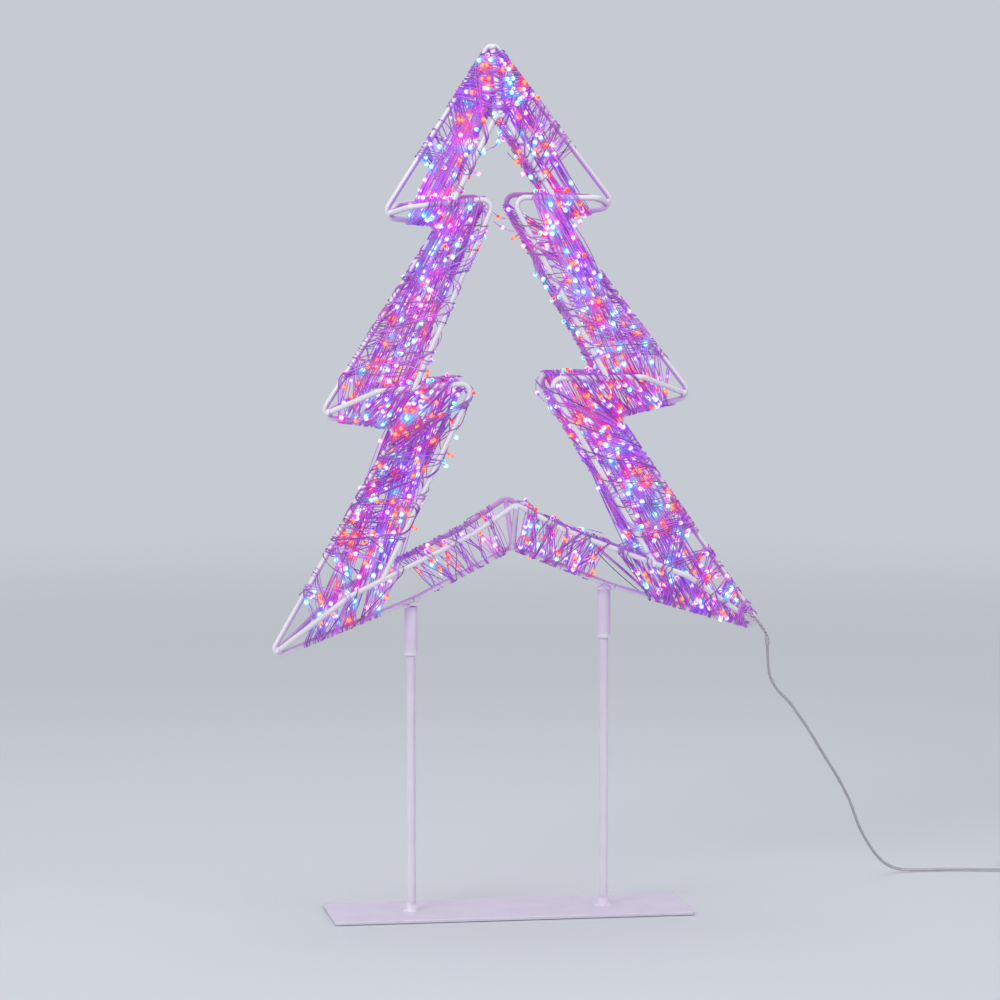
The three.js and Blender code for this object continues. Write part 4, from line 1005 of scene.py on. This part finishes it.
for name, passes in windings.items():
    piece = strandPiece(name, passes, lacqueredWire)
    if name in standsFor:
        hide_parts(standsFor[name])
    print(name, len(piece.data.polygons) * 2, "triangles")
strandPiece("bindingStrands", bindings, bindingWire, stringSizes["binding"])

# Each stray wire is the quadratic curve through the hull of its three points
share = np.linspace(0, 1, stringSizes["straySteps"])[None, :, None]
a, b, c = (leaning(np.array(strayWires, float)[:, i])[:, None] for i in range(3))
strays = a * (1 - share) ** 2 + 2 * b * share * (1 - share) + c * share ** 2
strandPiece("strayStrands", [(strays, np.broadcast_to([0.0, -1.0, 0.0], strays.shape))], lacqueredWire)

# Tails: one short curve from the winding to each drop that stands off it
tailBase, tailEnd = dropBase[isTail], dropPlace[isTail]
share = np.linspace(0, 1, stringSizes["tailSteps"])[None, :, None]
bent = rng.normal(0, stringSizes["tailBend"], (len(tailBase), 1, 1))
bulge = dropAlong[isTail][:, None] * np.sin(np.pi * share) * bent
tails = tailBase[:, None] * (1 - share) + tailEnd[:, None] * share + bulge
strandPiece("dropTails", [(tails, np.broadcast_to(dropAlong[isTail][:, None], tails.shape))], lacqueredWire)


# Drops as closed ellipsoids about their axes: rings whose radius is the sine and whose place along the axis is the
# cosine of an angle that runs from one end to the other. The heart's share of the colour is a power of the sine.
def dropShape():
    s = dropSizes
    bend = np.linspace(0, np.pi, s["rings"] + 2)[1:-1]
    turn = 2 * np.pi * np.arange(s["around"]) / s["around"]
    side = unit(np.cross(dropAxis, dropAxis[:, [1, 2, 0]] + 0.1))
    other = np.cross(dropAxis, side)
    ring = side[:, None] * np.cos(turn)[None, :, None] + other[:, None] * np.sin(turn)[None, :, None]
    body = (dropPlace[:, None, None] + ring[:, None] * (s["radius"] * np.sin(bend))[None, :, None, None]
            + dropAxis[:, None, None] * (s["length"] * np.cos(bend))[None, :, None, None])
    ends = dropPlace[:, None] + dropAxis[:, None] * np.array([s["length"], -s["length"]])[None, :, None]
    points = np.concatenate([body.reshape(dropCount, -1, 3), ends], axis=1)
    base = np.arange(dropCount)[:, None, None] * points.shape[1]
    faces = [face for part in ballFaces(s["rings"], s["around"])
             for face in (base + part).reshape(-1, part.shape[1]).tolist()]
    heat = np.concatenate([np.repeat(np.sin(bend) ** s["heartPower"], s["around"]), [0, 0]])[None, :, None]
    colour = dropColour[:, None] * (1 - heat) + dropHeart[:, None] * heat
    return (points.reshape(-1, 3), faces), colour.reshape(-1, 3)


shape, colour = dropShape()
dropPiece = newPiece("lightDrops", shape, resinDrop, "tree", 180)
addAttribute(dropPiece, "glow", np.insert(colour, 3, 1.0, axis=1))
print("drops made:", len(dropPiece.data.polygons), "faces")

# Floor and surroundings: plain pale matt paper. Away from the object the floor fades into the surroundings' colour,
# which the camera, mirrors and glass see, so that no line shows where it ends.
paperLooks = {"colour": "#c6cad2", "roughness": 0.9, "gloss": 0.2, "half": 30.0, "height": -0.0005, "fade": (1.2, 3.4),
              "sky": "#ffffff", "skyLevel": 0.5}
paper, tree, shader = newMaterial("palePaper", {"Roughness": paperLooks["roughness"],
                                                "Base Color": srgb(paperLooks["colour"]),
                                                "Specular IOR Level": paperLooks["gloss"]})
place = addNode(tree, "TexCoord").outputs["Object"]
distance = addNode(tree, "VectorMath", {"operation": "LENGTH"}, {0: place})
fading = addNode(tree, "MapRange", {"interpolation_type": "SMOOTHSTEP"},
                 {0: distance.outputs["Value"], 1: paperLooks["fade"][0], 2: paperLooks["fade"][1]})
plain = addNode(tree, "Emission", inputs={"Color": srgb(paperLooks["colour"]), "Strength": 1.0})
faded = addNode(tree, "MixShader", inputs={0: fading.outputs[0], 1: shader.outputs["BSDF"], 2: plain.outputs[0]})
output = next(node for node in tree.nodes if node.bl_idname == "ShaderNodeOutputMaterial")
tree.links.new(faded.outputs[0], output.inputs["Surface"])
mesh = bpy.data.meshes.new("floor")
mesh.from_pydata([(x * paperLooks["half"], y * paperLooks["half"], paperLooks["height"])
                  for x, y in ((-1, -1), (1, -1), (1, 1), (-1, 1))], [], [(0, 1, 2, 3)])
mesh.materials.append(paper)
floor = bpy.data.objects.new("floor", mesh)
scene.collection.objects.link(floor)

world = bpy.data.worlds.new("studio")
scene.world = world
world.use_nodes = True
tree = world.node_tree
tree.nodes.clear()
rays = addNode(tree, "LightPath")
either = addNode(tree, "Math", {"operation": "MAXIMUM"},
                 {0: rays.outputs["Is Camera Ray"], 1: rays.outputs["Is Glossy Ray"]})
shown = addNode(tree, "Math", {"operation": "MAXIMUM"},
                {0: either.outputs[0], 1: rays.outputs["Is Transmission Ray"]})
soft = addNode(tree, "Background", inputs={"Color": srgb(paperLooks["sky"]), "Strength": paperLooks["skyLevel"]})
wall = addNode(tree, "Background", inputs={"Color": srgb(paperLooks["colour"]), "Strength": 1.0})
choice = addNode(tree, "MixShader", inputs={0: shown.outputs[0], 1: soft.outputs[0], 2: wall.outputs[0]})
addNode(tree, "OutputWorld", inputs={"Surface": choice.outputs[0]})

# Soft boxes: square lamps aimed at the middle of the tree, and one straight overhead
aimHeight = 0.45
softBoxes = {
    "left": {"place": (-2.4, -2.4, 2.4), "size": 1.6, "power": 66},
    "right": {"place": (2.6, -1.8, 1.8), "size": 1.6, "power": 20},
    "top": {"place": (0.0, 0.2, 3.4), "size": 2.4, "power": 42},
}
for name, box in softBoxes.items():
    lamp = bpy.data.lights.new(name + "SoftBox", "AREA")
    lamp.size = box["size"]
    lamp.energy = box["power"]
    lampObject = bpy.data.objects.new(name + "SoftBox", lamp)
    scene.collection.objects.link(lampObject)
    lampObject.location = box["place"]
    aim = np.array([0, 0, aimHeight]) - np.array(box["place"])
    lampObject.rotation_euler = (math.acos(-aim[2] / np.linalg.norm(aim)), 0, math.atan2(aim[1], aim[0]) - math.pi / 2)
print("lights set")
